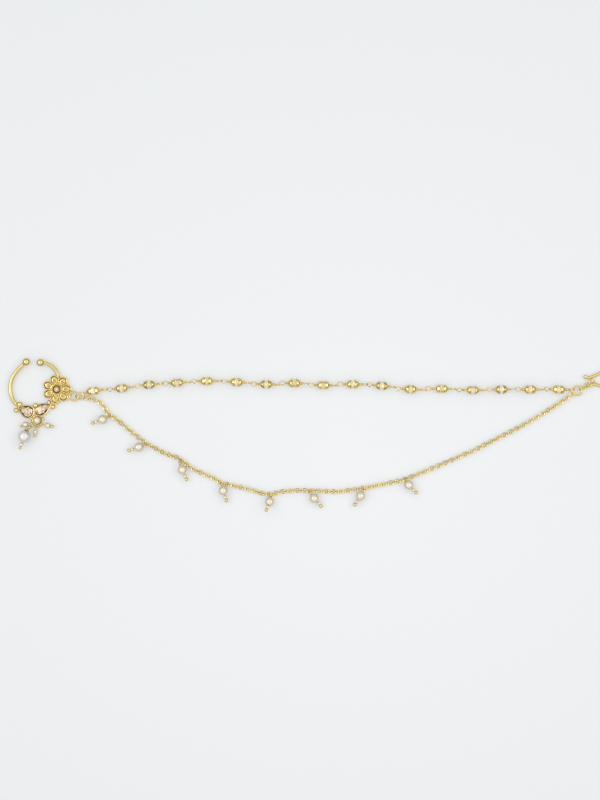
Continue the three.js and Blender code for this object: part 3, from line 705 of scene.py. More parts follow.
def surface_group():
    """Hand-polished surface: slow waves and fine scratches, as values that change over the surface."""
    tree, given = group("Hand polish", "ShaderNodeTree", {
        "Coordinates": "NodeSocketVector", "Wave Scale": "NodeSocketFloat",
        "Scratch Scale": "NodeSocketFloat", "Low": "NodeSocketFloat", "High": "NodeSocketFloat",
    }, {"Tone": "NodeSocketFloat", "Roughness": "NodeSocketFloat", "Height": "NodeSocketFloat"})
    waves = put(tree, "ShaderNodeTexNoise", {
        "Vector": given["Coordinates"], "Scale": given["Wave Scale"], "Detail": 2.0,
    })
    stretch = put(tree, "ShaderNodeVectorMath", {0: given["Coordinates"], 1: (1.0, 3.5, 2.0)},
                  operation="MULTIPLY")
    scratch = put(tree, "ShaderNodeTexNoise", {
        "Vector": stretch.outputs[0], "Scale": given["Scratch Scale"], "Detail": 3.0, "Roughness": 0.7,
    })
    rough = put(tree, "ShaderNodeMapRange", {
        "Value": scratch.outputs[0], "From Min": 0.3, "From Max": 0.7,
        "To Min": given["Low"], "To Max": given["High"],
    })
    fine = maths(tree, "MULTIPLY", scratch.outputs[0], 0.15)
    height = maths(tree, "ADD", waves.outputs[0], fine)
    put(tree, "NodeGroupOutput", {"Tone": waves.outputs[0], "Roughness": rough.outputs[0], "Height": height})
    return tree


def tarnish_and_shade_group():
    """How strongly the tarnish and painted shade show: the form's own share of them, broken up a little."""
    tree, given = group("Tarnish and painted shade", "ShaderNodeTree", {
        "Coordinates": "NodeSocketVector", "Strength": "NodeSocketFloat",
    }, {"Mask": "NodeSocketFloat"})
    depth = put(tree, "ShaderNodeAttribute", attribute_name="depth").outputs["Fac"]
    spots = put(tree, "ShaderNodeTexNoise", {"Vector": given["Coordinates"], "Scale": 1400.0, "Detail": 2.0})
    broken = put(tree, "ShaderNodeMapRange", {
        "Value": spots.outputs[0], "From Min": 0.35, "From Max": 0.65, "To Min": 0.75, "To Max": 1.0,
    })
    mask = maths(tree, "MULTIPLY", maths(tree, "MULTIPLY", depth, broken.outputs[0]), given["Strength"])
    put(tree, "NodeGroupOutput", {"Mask": mask})
    return tree


def mixed(tree, factor, a, b):
    node = put(tree, "ShaderNodeMix", data_type="RGBA")
    for index, value in ((0, factor), (6, a), (7, b)):
        if isinstance(value, bpy.types.NodeSocket):
            tree.links.new(value, node.inputs[index])
        else:
            node.inputs[index].default_value = value
    return node.outputs[2]


def start_material(name, settings):
    made = bpy.data.materials.new(name)
    made.use_nodes = True
    tree = made.node_tree
    shader = tree.nodes["Principled BSDF"]
    for label, value in settings.items():
        shader.inputs[label].default_value = value
    coordinates = put(tree, "ShaderNodeTexCoord").outputs["Object"]
    return made, tree, shader, coordinates


def polish(tree, shader, coordinates, finish):
    """Adds the shared hand polish to a material, and gives back its slow tone."""
    rates = POLISH[finish]
    node = put(tree, "ShaderNodeGroup", {
        "Coordinates": coordinates, "Wave Scale": rates["waves"], "Scratch Scale": rates["scratches"],
        "Low": rates["low"], "High": rates["high"],
    }, node_tree=shared("Hand polish", surface_group))
    bump = put(tree, "ShaderNodeBump", {
        "Height": node.outputs["Height"], "Strength": rates["strength"], "Distance": rates["bump"] * MM,
    })
    tree.links.new(node.outputs["Roughness"], shader.inputs["Roughness"])
    tree.links.new(bump.outputs["Normal"], shader.inputs["Normal"])
    return node.outputs["Tone"]


def tarnish_and_shade_mask(tree, coordinates, strength):
    """Adds the shared tarnish and painted shade to a material, and gives back how much of it shows."""
    node = put(tree, "ShaderNodeGroup", {"Coordinates": coordinates, "Strength": strength},
               node_tree=shared("Tarnish and painted shade", tarnish_and_shade_group))
    return node.outputs["Mask"]


def shared(name, make):
    return bpy.data.node_groups.get(name) or make()


def gold():
    colours = bpy.context.scene.nath_colours
    made, tree, shader, coordinates = start_material("gold_plate", {"Metallic": 1.0})
    tone = polish(tree, shader, coordinates, "gold")
    plate = mixed(tree, tone, colours.gold, colours.gold_deep)
    # Tarnish and painted shade down in the recesses.
    tone = mixed(tree, tarnish_and_shade_mask(tree, coordinates, 0.95), plate, colours.tarnish_and_shade)
    tree.links.new(tone, shader.inputs["Base Color"])
    return made


def pearl_material(name, main, overtone):
    made, tree, shader, coordinates = start_material(name, {
        "Metallic": 0.45, "Coat Weight": 0.6, "Coat Roughness": 0.12, "Specular IOR Level": 0.6,
    })
    tone = polish(tree, shader, coordinates, "pearl")
    lustre = mixed(tree, tone, main, overtone)
    shade = bpy.context.scene.nath_colours.painted_pearl_shade
    # Painted shade, low on the pearl's sides.
    tree.links.new(mixed(tree, tarnish_and_shade_mask(tree, coordinates, 0.75), lustre, shade), shader.inputs["Base Color"])
    return made


def pearl():
    colours = bpy.context.scene.nath_colours
    return pearl_material("cream_pearl", colours.cream, colours.rose)


def white_pearl():
    colours = bpy.context.scene.nath_colours
    return pearl_material("white_pearl", colours.white_pearl, colours.silver)


def champagne():
    """A foiled stone: each facet has its own share of the deep tone, a painted reflection of the foil."""
    colours = bpy.context.scene.nath_colours
    made, tree, shader, coordinates = start_material("champagne_stone", {
        "Metallic": 0.5, "Coat Weight": 1.0, "Coat Roughness": 0.02, "Coat IOR": 1.8,
    })
    polish(tree, shader, coordinates, "stone")
    # Each facet's tone is a painted reflection of the foil.
    painted_facet_reflection = put(tree, "ShaderNodeAttribute", attribute_name="painted_facet_reflection").outputs["Fac"]
    tree.links.new(mixed(tree, painted_facet_reflection, colours.champagne, colours.champagne_dark_reflection), shader.inputs["Base Color"])
    return made


def crystal():
    colours = bpy.context.scene.nath_colours
    made, tree, shader, coordinates = start_material("clear_crystal", {
        "Transmission Weight": 0.3, "Metallic": 0.25, "IOR": 1.5, "Specular IOR Level": 0.8,
    })
    polish(tree, shader, coordinates, "crystal")
    bead = put(tree, "ShaderNodeTexNoise", {"Vector": coordinates, "Scale": 55.0, "Detail": 1.0}).outputs[0]
    warm = put(tree, "ShaderNodeMapRange", {"Value": bead, "From Min": 0.38, "From Max": 0.62}).outputs[0]
    tree.links.new(mixed(tree, warm, colours.crystal, colours.crystal_warm), shader.inputs["Base Color"])
    return made


def floor_material():
    colours = bpy.context.scene.nath_colours
    # The floor glows faintly: painted light that lightens the shadows on it.
    made, tree, shader, coordinates = start_material("pale_floor", {
        "Specular IOR Level": 0.2, "Emission Color": (0.98, 0.99, 1.0, 1), "Emission Strength": 0.36,
    })
    polish(tree, shader, coordinates, "floor")
    # A pool of light painted on the floor, paler towards its middle.
    centre = spot(*PAINTED_LIGHT_POOL["middle"])
    shift = put(tree, "ShaderNodeVectorMath", {0: coordinates, 1: centre}, operation="SUBTRACT")
    spread = put(tree, "ShaderNodeVectorMath", {0: shift.outputs[0], "Scale": 1 / (PAINTED_LIGHT_POOL["reach"] * MM)},
                 operation="SCALE")
    light_pool_mask = put(tree, "ShaderNodeTexGradient", {"Vector": spread.outputs[0]}, gradient_type="SPHERICAL")
    tone = mixed(tree, light_pool_mask.outputs["Fac"], colours.floor_edge, colours.floor)
    tree.links.new(tone, shader.inputs["Base Color"])
    return made


MATERIALS = {
    "gold": gold, "pearl": pearl, "white_pearl": white_pearl, "champagne": champagne, "crystal": crystal,
    "floor": floor_material,
}
_materials = {}


def material(name):
    if name not in _materials:
        _materials[name] = MATERIALS[name]()
    return _materials[name]


# ------------------------------------------------------------------ operators


class BuildOperator:
    """A build step: each operator's build makes its pieces from the scene's sizes."""

    bl_options = {"REGISTER", "UNDO"}

    def execute(self, context):
        self.build(context.scene.nath_sizes)
        return {"FINISHED"}


class NATH_OT_stage(BuildOperator, bpy.types.Operator):
    """Make the pale floor, the soft lights and the camera that looks straight down"""

    bl_idname = "nath.stage"
    bl_label = "Stage"

    def build(self, sizes):
        scene = bpy.context.scene
        scene.view_settings.view_transform = "Standard"
        bpy.ops.mesh.primitive_plane_add(size=6.0, location=(0, 0, -0.03 * MM))
        floor = bpy.context.object
        floor.name = "floor"
        floor.data.materials.append(material("floor"))
        middle = spot(VIEW["x"], VIEW["y"])
        for name, (side, power) in SOFTBOX_POWER.items():
            place = Vector((side * SOFTBOX["aside"], SOFTBOX["back"], SOFTBOX["height"])) * MM
            self.softbox(name, middle + place, power, middle)
        self.sky(scene)
        lens = bpy.data.cameras.new("camera")
        lens.lens, lens.sensor_width = VIEW["lens"], VIEW["sensor"]
        lens.clip_start, lens.clip_end = 0.05, 10.0
        camera = bpy.data.objects.new("camera", lens)
        camera.location = middle + Vector((0, 0, VIEW["tall"] * MM * VIEW["lens"] / VIEW["sensor"]))
        scene.collection.objects.link(camera)
        scene.camera = camera

    def softbox(self, name, place, power, target):
        light = bpy.data.lights.new(name, "AREA")
        light.shape, light.size = "SQUARE", SOFTBOX["size"] * MM
        light.energy = power
        obj = bpy.data.objects.new(name, light)
        obj.location = place
        obj.rotation_euler = (target - place).to_track_quat("-Z", "Y").to_euler()
        obj.visible_camera = False
        bpy.context.scene.collection.objects.link(obj)

    def sky(self, scene):
        """Dim near the horizon, white above and softer overhead, for the metal to mirror. Pale to the eye."""
        world = bpy.data.worlds.new("studio")
        world.use_nodes = True
        tree = world.node_tree
        tree.nodes.clear()
        up = put(tree, "ShaderNodeSeparateXYZ", {0: put(tree, "ShaderNodeTexCoord").outputs["Generated"]})
        shade = put(tree, "ShaderNodeValToRGB", {"Fac": up.outputs["Z"]})
        stops = shade.color_ramp.elements
        for index, (height, tone) in enumerate(SKY):
            stop = stops[index] if index < 2 else stops.new(height)  # a new ramp has two stops
            stop.position = height
            stop.color = tone
        lit = put(tree, "ShaderNodeBackground", {"Color": shade.outputs[0], "Strength": 1.22})
        seen = put(tree, "ShaderNodeBackground", {"Color": (0.83, 0.84, 0.85, 1), "Strength": 1.0})
        eye = put(tree, "ShaderNodeLightPath").outputs["Is Camera Ray"]
        both = put(tree, "ShaderNodeMixShader", {0: eye, 1: lit.outputs[0], 2: seen.outputs[0]})
        put(tree, "ShaderNodeOutputWorld", {"Surface": both.outputs[0]})
        scene.world = world


class NATH_OT_hoop(BuildOperator, bpy.types.Operator):
    """Make the open hoop with its two ball ends"""

    bl_idname = "nath.hoop"
    bl_label = "Hoop"

    def build(self, sizes):
        shell = Shell()
        self.arm(shell, sizes, HOOP_LEFT_ARM, steps=16, thins=0.93)
        self.arm(shell, sizes, HOOP_RIGHT_ARM, steps=12, thins=0.8)
        shell.make_piece("hoop", "gold", ["nose_ring"])

    def arm(self, shell, sizes, rows, steps, thins):
        """A wire that swells away from its ball end and slopes down to the table.

        It thins from the share of its length given as thins, to slip under what it is soldered to.
        """
        ball = sizes.hoop_ball / MM
        low = sizes.hoop_wire / MM + 0.15
        bends = smooth_route([Vector((turn, radius, 0)) for turn, radius in rows], steps)
        last = len(bends) - 1
        route, radii = [], []
        for i, bend in enumerate(bends):
            share = i / last
            thin = 1 - 0.5 * max(0, share - thins) / (1 - thins)
            route.append(spot(*polar(bend.x, bend.y).xy, (ball + (low - ball) * share) / 2 * thin))
            radii.append(sizes.hoop_wire / 2 * (0.84 + 0.2 * math.sin(math.pi * min(share, 0.5))) * thin)
        shell.add(sweep(route, radii, 20))
        along = (route[0] - route[1]).normalized()
        shell.add(ball_form(ball, 32, 20), lay(route[0], along))
        solder = revolve([(-0.55, 0.7), (-0.25, 0.84), (0, 1.1), (0.2, 1.2), (0.2, 0.5)], 24)
        shell.add(solder, lay(route[0] - along * (ball / 2 - 0.35) * MM, along))


class NATH_OT_flower(BuildOperator, bpy.types.Operator):
    """Make the flower: cupped petals round a bezel"""

    bl_idname = "nath.flower"
    bl_label = "Flower"

    def build(self, sizes):
        source = helper("petal_part", self.petal(sizes))
        base = helper("petal_base", bpy.data.meshes.new("petal_base"))
        petals = grown(base, tree_for("circle"), {
            "Part": source, "Count": sizes.petals, "Radius": FLOWER["reach"] * MM,
            "First Angle": math.radians(FLOWER["first_petal"]), "Material": material("gold"),
        })
        bpy.data.objects.remove(source)
        bpy.data.objects.remove(base)
        place = plan(FLOWER["x"], FLOWER["y"])
        shell = Shell()
        shell.add_mesh(petals, place)
        self.bezel(shell, place)
        shell.make_piece("flower", "gold", ["nose_ring"])

    def petal(self, sizes):
        outline = oval(sizes.petal_length / MM, sizes.petal_width / MM, 44)
        rim = sizes.petal_rim / MM
        top, groove, dome = 1.8, 1.15, 1.5
        rows = [
            (0, 0, 0), (1, -0.25, 0), (1, 0, 0.2), (1, 0, top - 0.35), (1, -rim * 0.12, top - 0.13),
            (1, -rim * 0.5, top), (1, -rim * 0.88, top - 0.13), (1, -rim, top - 0.3),
            (1, -rim - 0.04, groove + 0.1), (1, -rim - 0.14, groove), (1, -rim - 0.34, groove + 0.2),
            (0.42, 0, dome - 0.06), (0, 0, dome),
        ]
        # Tarnish and painted shade by row: darkest in the groove inside the rim and low on the petal's sides.
        depths = [0.7, 0.7, 0.7, 0.5, 0, 0, 0, 0.4, 1, 0.9, 0.1, 0, 0]
        shell = Shell().add(stack(outline, rows), None, by_row(depths, rows, 0, len(outline)))
        seat = Vector((-0.4, 0, dome)) * MM
        shell.add(wire_ring(1.6, 0.3, sides=8, corners=20), Matrix.Translation(seat))
        # The dark disc under the seat's ring: tarnish and painted shade.
        disc = revolve([(0, 0), (0, 0.55), (0.04, 0.53), (0.05, 0)], 16)
        shell.add(disc, Matrix.Translation(seat) @ UPRIGHT, [0.8] * len(disc[0]))
        shell.add(ball_form(0.7, 12, 8), Matrix.Translation(seat))
        return shell.mesh("petal_part")

    def bezel(self, shell, place):
        outer, seat = FLOWER_BEZEL["radius"], FLOWER_BEZEL["seat"]
        floor, top = FLOWER_BEZEL["floor"], FLOWER_BEZEL["top"]
        rows = [
            (0, 0), (0, outer), (top - 0.25, outer), (top - 0.08, outer - 0.04), (top, outer - 0.16),
            (top - 0.04, seat + 0.08), (top - 0.2, seat), (floor + 0.1, seat - 0.05), (floor, seat - 0.2),
            (floor, 0),
        ]
        # Tarnish and painted shade by row: rising up the rim and darkest down the inner wall by the stone.
        depths = [0, 0, 0.1, 0.25, 0.4, 0.7, 0.9, 1, 1, 1]
        corners = 40
        shell.add(revolve(rows, corners), place @ UPRIGHT, by_row(depths, rows, 1, corners))
        # A little tarnish and painted shade all over the collar.
        collar = [(0.9, outer - 0.1), (1.5, outer - 0.1), (1.5, 2.7), (1.3, 3.1), (0.9, 3.1)]
        shell.add(revolve(collar, corners), place @ UPRIGHT, [0.2] * corners * len(collar))


class NATH_OT_settings(BuildOperator, bpy.types.Operator):
    """Make the pear bezels, the tie plates and the soldered balls"""

    bl_idname = "nath.settings"
    bl_label = "Pear settings"

    def build(self, sizes):
        shell = Shell()
        for pear in PEARS.values():
            self.bezel(shell, sizes, pear)
        for x, y, long, wide, heading, top in TIES:
            rows = [(0, 0, 0), (1, -0.15, 0), (1, 0, 0.15), (1, 0, top - 0.3), (1, -0.1, top - 0.08),
                    (1, -0.3, top), (0, 0, top + 0.05)]
            shell.add(stack(oval(long, wide, 28), rows), plan(x, y, heading))
        stations = [
            (Matrix.Translation(spot(x, y, max(wide / 2, GRANULE_HEIGHT))), wide)
            for x, y, wide in GRANULES
        ]
        grain = Shell().add(ball_form(1.0, 20, 12), UPRIGHT).mesh("granule_part")
        shell.add_mesh(copies_at("granules", grain, stations, material("gold")))
        shell.make_piece("pear_settings", "gold", ["nose_ring"])

    def bezel(self, shell, sizes, pear):
        corners = 72
        outline = [pear_point(pear, FULL_TURN * i / corners) for i in range(corners)]
        wall = sizes.bezel_wall / MM
        floor, top = 1.0, 2.0
        rows = [
            (0, 0, 0), (1, wall, 0), (1, wall, top - 0.4), (1, wall * 0.93, top - 0.14),
            (1, wall * 0.6, top), (1, wall * 0.2, top - 0.05), (1, 0.0, top - 0.22),
            (1, -0.02, floor + 0.1), (1, -0.25, floor), (0, 0, floor),
        ]
        # Tarnish and painted shade by row: on the outer wall's foot, and darkest down the inner wall and the
        # seat.
        depths = [0.6, 0.6, 0.25, 0, 0, 0.1, 0.8, 1, 1, 1]
        depth = by_row(depths, rows, 0, corners)
        shell.add(stack(outline, rows), plan(pear["x"], pear["y"], pear["heading"]), depth)


class NATH_OT_stones(BuildOperator, bpy.types.Operator):
    """Make the round stone and the two pear stones, cut in facets"""

    bl_idname = "nath.stones"
    bl_label = "Stones"

    def build(self, sizes):
        stone = FLOWER_STONE
        corners = stone["corners"]
        rows = [(0.9, stone["low"]), (1.0, stone["girdle"]), (0.72, 2.5), (0.42, stone["top"])]
        rings = [self.ring(lambda t, share: polar(math.degrees(t), stone["radius"] * share), corners, k, row)
                 for k, row in enumerate(rows)]
        middle = plan(FLOWER["x"], FLOWER["y"])
        self.cut("flower_stone_cut", facets(rings), middle, "flower_stone", 0.3, 0.12)
        for side, pear in PEARS.items():
            small = {**pear, "length": pear["length"] - 0.36, "width": pear["width"] - 0.36}
            rows = [(0.9, 1.25), (1.0, 1.95), (0.68, 2.42), (0.3, 2.7)]
            rings = [self.ring(lambda t, share: pear_point(small, t, share).to_3d(), PEAR_CORNERS, k, row)
                     for k, row in enumerate(rows)]
            node = f"pear_stone_{side}"
            place = plan(pear["x"], pear["y"], pear["heading"])
            self.cut(node + "_cut", facets(rings), place, node, 0.6, 0.97)

    def ring(self, point_at, corners, index, row):
        share, height = row
        half = 0.5 if index % 2 else 0.0
        points = [point_at(FULL_TURN * (i + half) / corners, share) for i in range(corners)]
        return [Vector((p.x, p.y, height)) * MM for p in points]

    def cut(self, name, form, place, node, start, contrast):
        """Each facet gets its own tone, a painted reflection of the foil, from a run of steps that never
        repeats side by side.
        """
        mesh = Shell().add(form, place).mesh(name)
        golden = 0.618034
        tones = [(start + golden * i) % 1 for i in range(len(mesh.polygons))]
        tones = [contrast * t for t in tones]
        mesh.attributes.new("painted_facet_reflection", "FLOAT", "FACE").data.foreach_set("value", tones)
        piece(name, mesh, material("champagne"), [node], faceted=True)


class NATH_OT_cup(BuildOperator, bpy.types.Operator):
    """Make the scalloped cup with its pearl, and the half ring that the drops hang from"""

    bl_idname = "nath.cup"
    bl_label = "Cup and hanger"

    def build(self, sizes):
        shell = Shell()
        rows = [
            (0, 0), (0, 1.3), (0.5, 1.9, 0.4), (1.2, 2.25, 0.8), (1.7, 2.4, 1), (1.9, 2.33, 1),
            (1.97, 2.15, 0.8), (1.9, 1.92, 0.3), (1.5, 1.75), (1.0, 1.4), (0.92, 0),
        ]
        corners = 48
        # Tarnish and painted shade by row, darkest down inside the cup round the pearl.
        depth = by_row([0.4, 0.4, 0.2, 0, 0, 0, 0, 0.3, 0.9, 1, 1], rows, 1, corners)
        place = plan(CUP["x"], CUP["y"])
        form = revolve(rows, corners, CUP["lobes"], reach=0.12, swell=0.1)
        shell.add(form, place @ UPRIGHT, depth)
        middle = spot(HANGER["x"], HANGER["y"], HANGER["z"])
        count = 44
        route, radii = [], []
        for i in range(count + 1):
            share = i / count
            turn = HANGER["from"] + (HANGER["to"] - HANGER["from"]) * share
            route.append(middle + polar(turn, HANGER["radius"] * MM))
            radii.append(sizes.hanger_wire / 2 * (0.55 + 0.45 * math.sin(math.pi * share)))
        shell.add(sweep(route, radii, 14))
        for end in (route[0], route[-1]):
            shell.add(ball_form(1.0, 14, 8), Matrix.Translation(end))
        shell.make_piece("cup_and_hanger", "gold", ["nose_ring"])
        seat = middle_of("cup_pearl") + Vector((0, 0, CUP["lift"] * MM))
        place = lay(seat, Vector((0.3, 1, 0.2)))
        form = bead_form(CUP["pearl"], 0.5, segments=40, rows=22, lobes=3, swell=0.02)
        bead = Shell().add_bead(form, place)
        bead.make_piece("cup_pearl_round", "pearl", ["cup_pearl"])


def hanger_seat(degrees):
    return spot(HANGER["x"], HANGER["y"], HANGER["z"]) + polar(degrees, HANGER["radius"] * MM)


class NATH_OT_drops(BuildOperator, bpy.types.Operator):
    """Make the large pearl and the three small drops on the hanger, with their headpins"""

    bl_idname = "nath.drops"
    bl_label = "Drops"

    def build(self, sizes):
        self.main_drop(sizes)
        pins, seeds = Shell(), Shell()
        for name, drop in SMALL_DROPS.items():
            self.small_drop(sizes, pins, seeds, name, drop)
        pins.make_piece("small_drop_pins", "gold", [f"small_drop_pin_{name}" for name in SMALL_DROPS])
        seeds.make_piece("small_drop_seeds", "pearl", [f"small_drop_seed_{name}" for name in SMALL_DROPS])

    def main_drop(self, sizes):
        middle = middle_of("main_drop_pearl")
        low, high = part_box("main_drop_pearl")
        wide = (high.z - low.z) / MM
        along = polar(MAIN_DROP["heading"], 1)
        seat = hanger_seat(MAIN_DROP["seat"])
        stem = seat + polar(MAIN_DROP["eye"], 0.75 * MM)
        neck = middle - along * (wide / 2 + 0.1) * MM
        seed_at = middle + along * (wide / 2 + 0.1 + MAIN_DROP["seed"] / 2) * MM
        ball_at = seed_at + along * (MAIN_DROP["seed"] + MAIN_DROP["ball"] - 0.2) / 2 * MM
        pin = Shell()
        pin.add(wire_ring(1.85, 0.45, sides=10, corners=24), lay(seat, polar(MAIN_DROP["eye"], 1), 90))
        pin.add(sweep([stem, neck, middle, ball_at], sizes.pin_wire / 2, 12))
        rise = neck - stem
        turn = rise.to_track_quat("Z", "X").to_matrix().to_4x4()
        height, wire = rise.length / MM - 0.6, 0.46
        wound = coil(height / wire, 0.5, wire, height)
        pin.add_mesh(wound, Matrix.Translation(stem + rise.normalized() * 0.2 * MM) @ turn)
        pin.add(ball_form(MAIN_DROP["ball"], 20, 12), Matrix.Translation(ball_at))
        rows = [(0.6, 0.3), (0.55, 0.55), (0.35, 0.8), (0.08, 1.05, 0.6), (-0.16, 1.25, 1),
                (-0.24, 1.2, 1), (-0.04, 0.95, 0.6), (0.22, 0.6), (0.35, 0.3)]
        pin.add(revolve(rows, segments=36, lobes=6, reach=0.25, swell=0.06), lay(neck, -along))
        pin.make_piece("main_drop_wire", "gold", ["main_drop_pin"])
        form = bead_form(wide, 0.7, segments=48, rows=28, lobes=3, swell=0.03)
        bead = Shell().add_bead(form, lay(middle, along))
        bead.make_piece("main_pearl_round", "white_pearl", ["main_drop_pearl"])
        form = bead_form(MAIN_DROP["seed"], 0.55, segments=24, rows=14)
        seed = Shell().add_bead(form, lay(seed_at, along))
        seed.make_piece("main_drop_seed", "pearl")

    def small_drop(self, sizes, pins, seeds, name, drop):
        seat = hanger_seat(drop["seat"])
        seed_at = middle_of(f"small_drop_seed_{name}")
        along = (seed_at - seat).normalized()
        ball_at = seed_at + along * ((drop["seed"] + drop["ball"]) / 2 + 0.1) * MM
        pins.add(wire_ring(1.8, 0.4, sides=8, corners=22), lay(seat, along, 90))
        pins.add(sweep([seat + along * 0.7 * MM, seed_at, ball_at], sizes.pin_wire / 2, 10))
        pins.add(ball_form(drop["ball"], 18, 10), Matrix.Translation(ball_at))
        half = drop["seed"] / 2
        for side in (-1, 1):
            washer = revolve([(-0.12, 0.28), (-0.1, 0.6), (0.1, 0.6), (0.12, 0.28)], 14)
            pins.add(washer, lay(seed_at + along * side * (half - 0.02) * MM, along))
        form = bead_form(drop["seed"], 0.6, segments=28, rows=16, lobes=3, swell=0.03)
        seeds.add_bead(form, lay(seed_at, along))


class NATH_OT_rings(BuildOperator, bpy.types.Operator):
    """Make the bail, the two jump rings and the two links"""

    bl_idname = "nath.rings"
    bl_label = "Rings and links"

    def build(self, sizes):
        shell = Shell()
        wire = sizes.ring_wire / MM
        for node, ring in RINGS.items():
            form = wire_ring(ring["outer"], wire, sides=14, corners=56, gap_degrees=RING_GAP)
            turn = Matrix.Rotation(math.radians(ring["cut"]), 4, "Z")
            shell.add(form, Matrix.Translation(middle_of(node)) @ turn)
        for node, link in LINKS.items():
            self.links(shell, node, link)
        self.bail(shell, wire)
        shell.make_piece("rings_and_links", "gold", [*RINGS, *LINKS, "nose_ring"])

    def links(self, shell, node, link):
        """One link, or a run of them with every second one a quarter turn round."""
        count, wide = link["count"], link["wire"]
        long = (link["length"] + 2 * wide * (count - 1)) / count
        turn = Matrix.Rotation(math.radians(link["heading"]), 4, "Z")
        for i in range(count):
            along = (i - (count - 1) / 2) * (long - 2 * wide)
            tip = Matrix.Rotation(math.radians(link["tilt"] - 90 * (i % 2)), 4, "X")
            place = Matrix.Translation(Vector((along, 0, 0)) * MM)
            form = wire_loop(long, link["width"], wide, sides=12, corners=44)
            shell.add(form, Matrix.Translation(middle_of(node)) @ turn @ place @ tip)

    def bail(self, shell, wire):
        flower = spot(FLOWER["x"], FLOWER["y"], BAIL["z"])
        ring = middle_of("flower_jump_ring")
        ring.z = flower.z
        along = (ring - flower).normalized()
        reach = (ring - flower).length - (RINGS["flower_jump_ring"]["outer"] - wire) / 2 * MM
        middle = flower + along * reach
        outer = 2 * BAIL["radius"] + BAIL["wire"]
        shell.add(wire_ring(outer, BAIL["wire"], sides=10, corners=28), lay(middle, along, 90))
        side = along.cross(Vector((0, 0, 1)))
        for lean in (-1, 1):
            start = flower + along * 5.2 * MM + side * lean * 1.0 * MM
            end = middle - along * BAIL["radius"] * MM
            bend = (start + end) / 2 + side * lean * 0.35 * MM
            shell.add(sweep(smooth_route([start, bend, end], 8), 0.34 * MM, 12))
        shell.add(ball_form(1.2, 16, 10), Matrix.Translation(middle - along * BAIL["radius"] * MM))


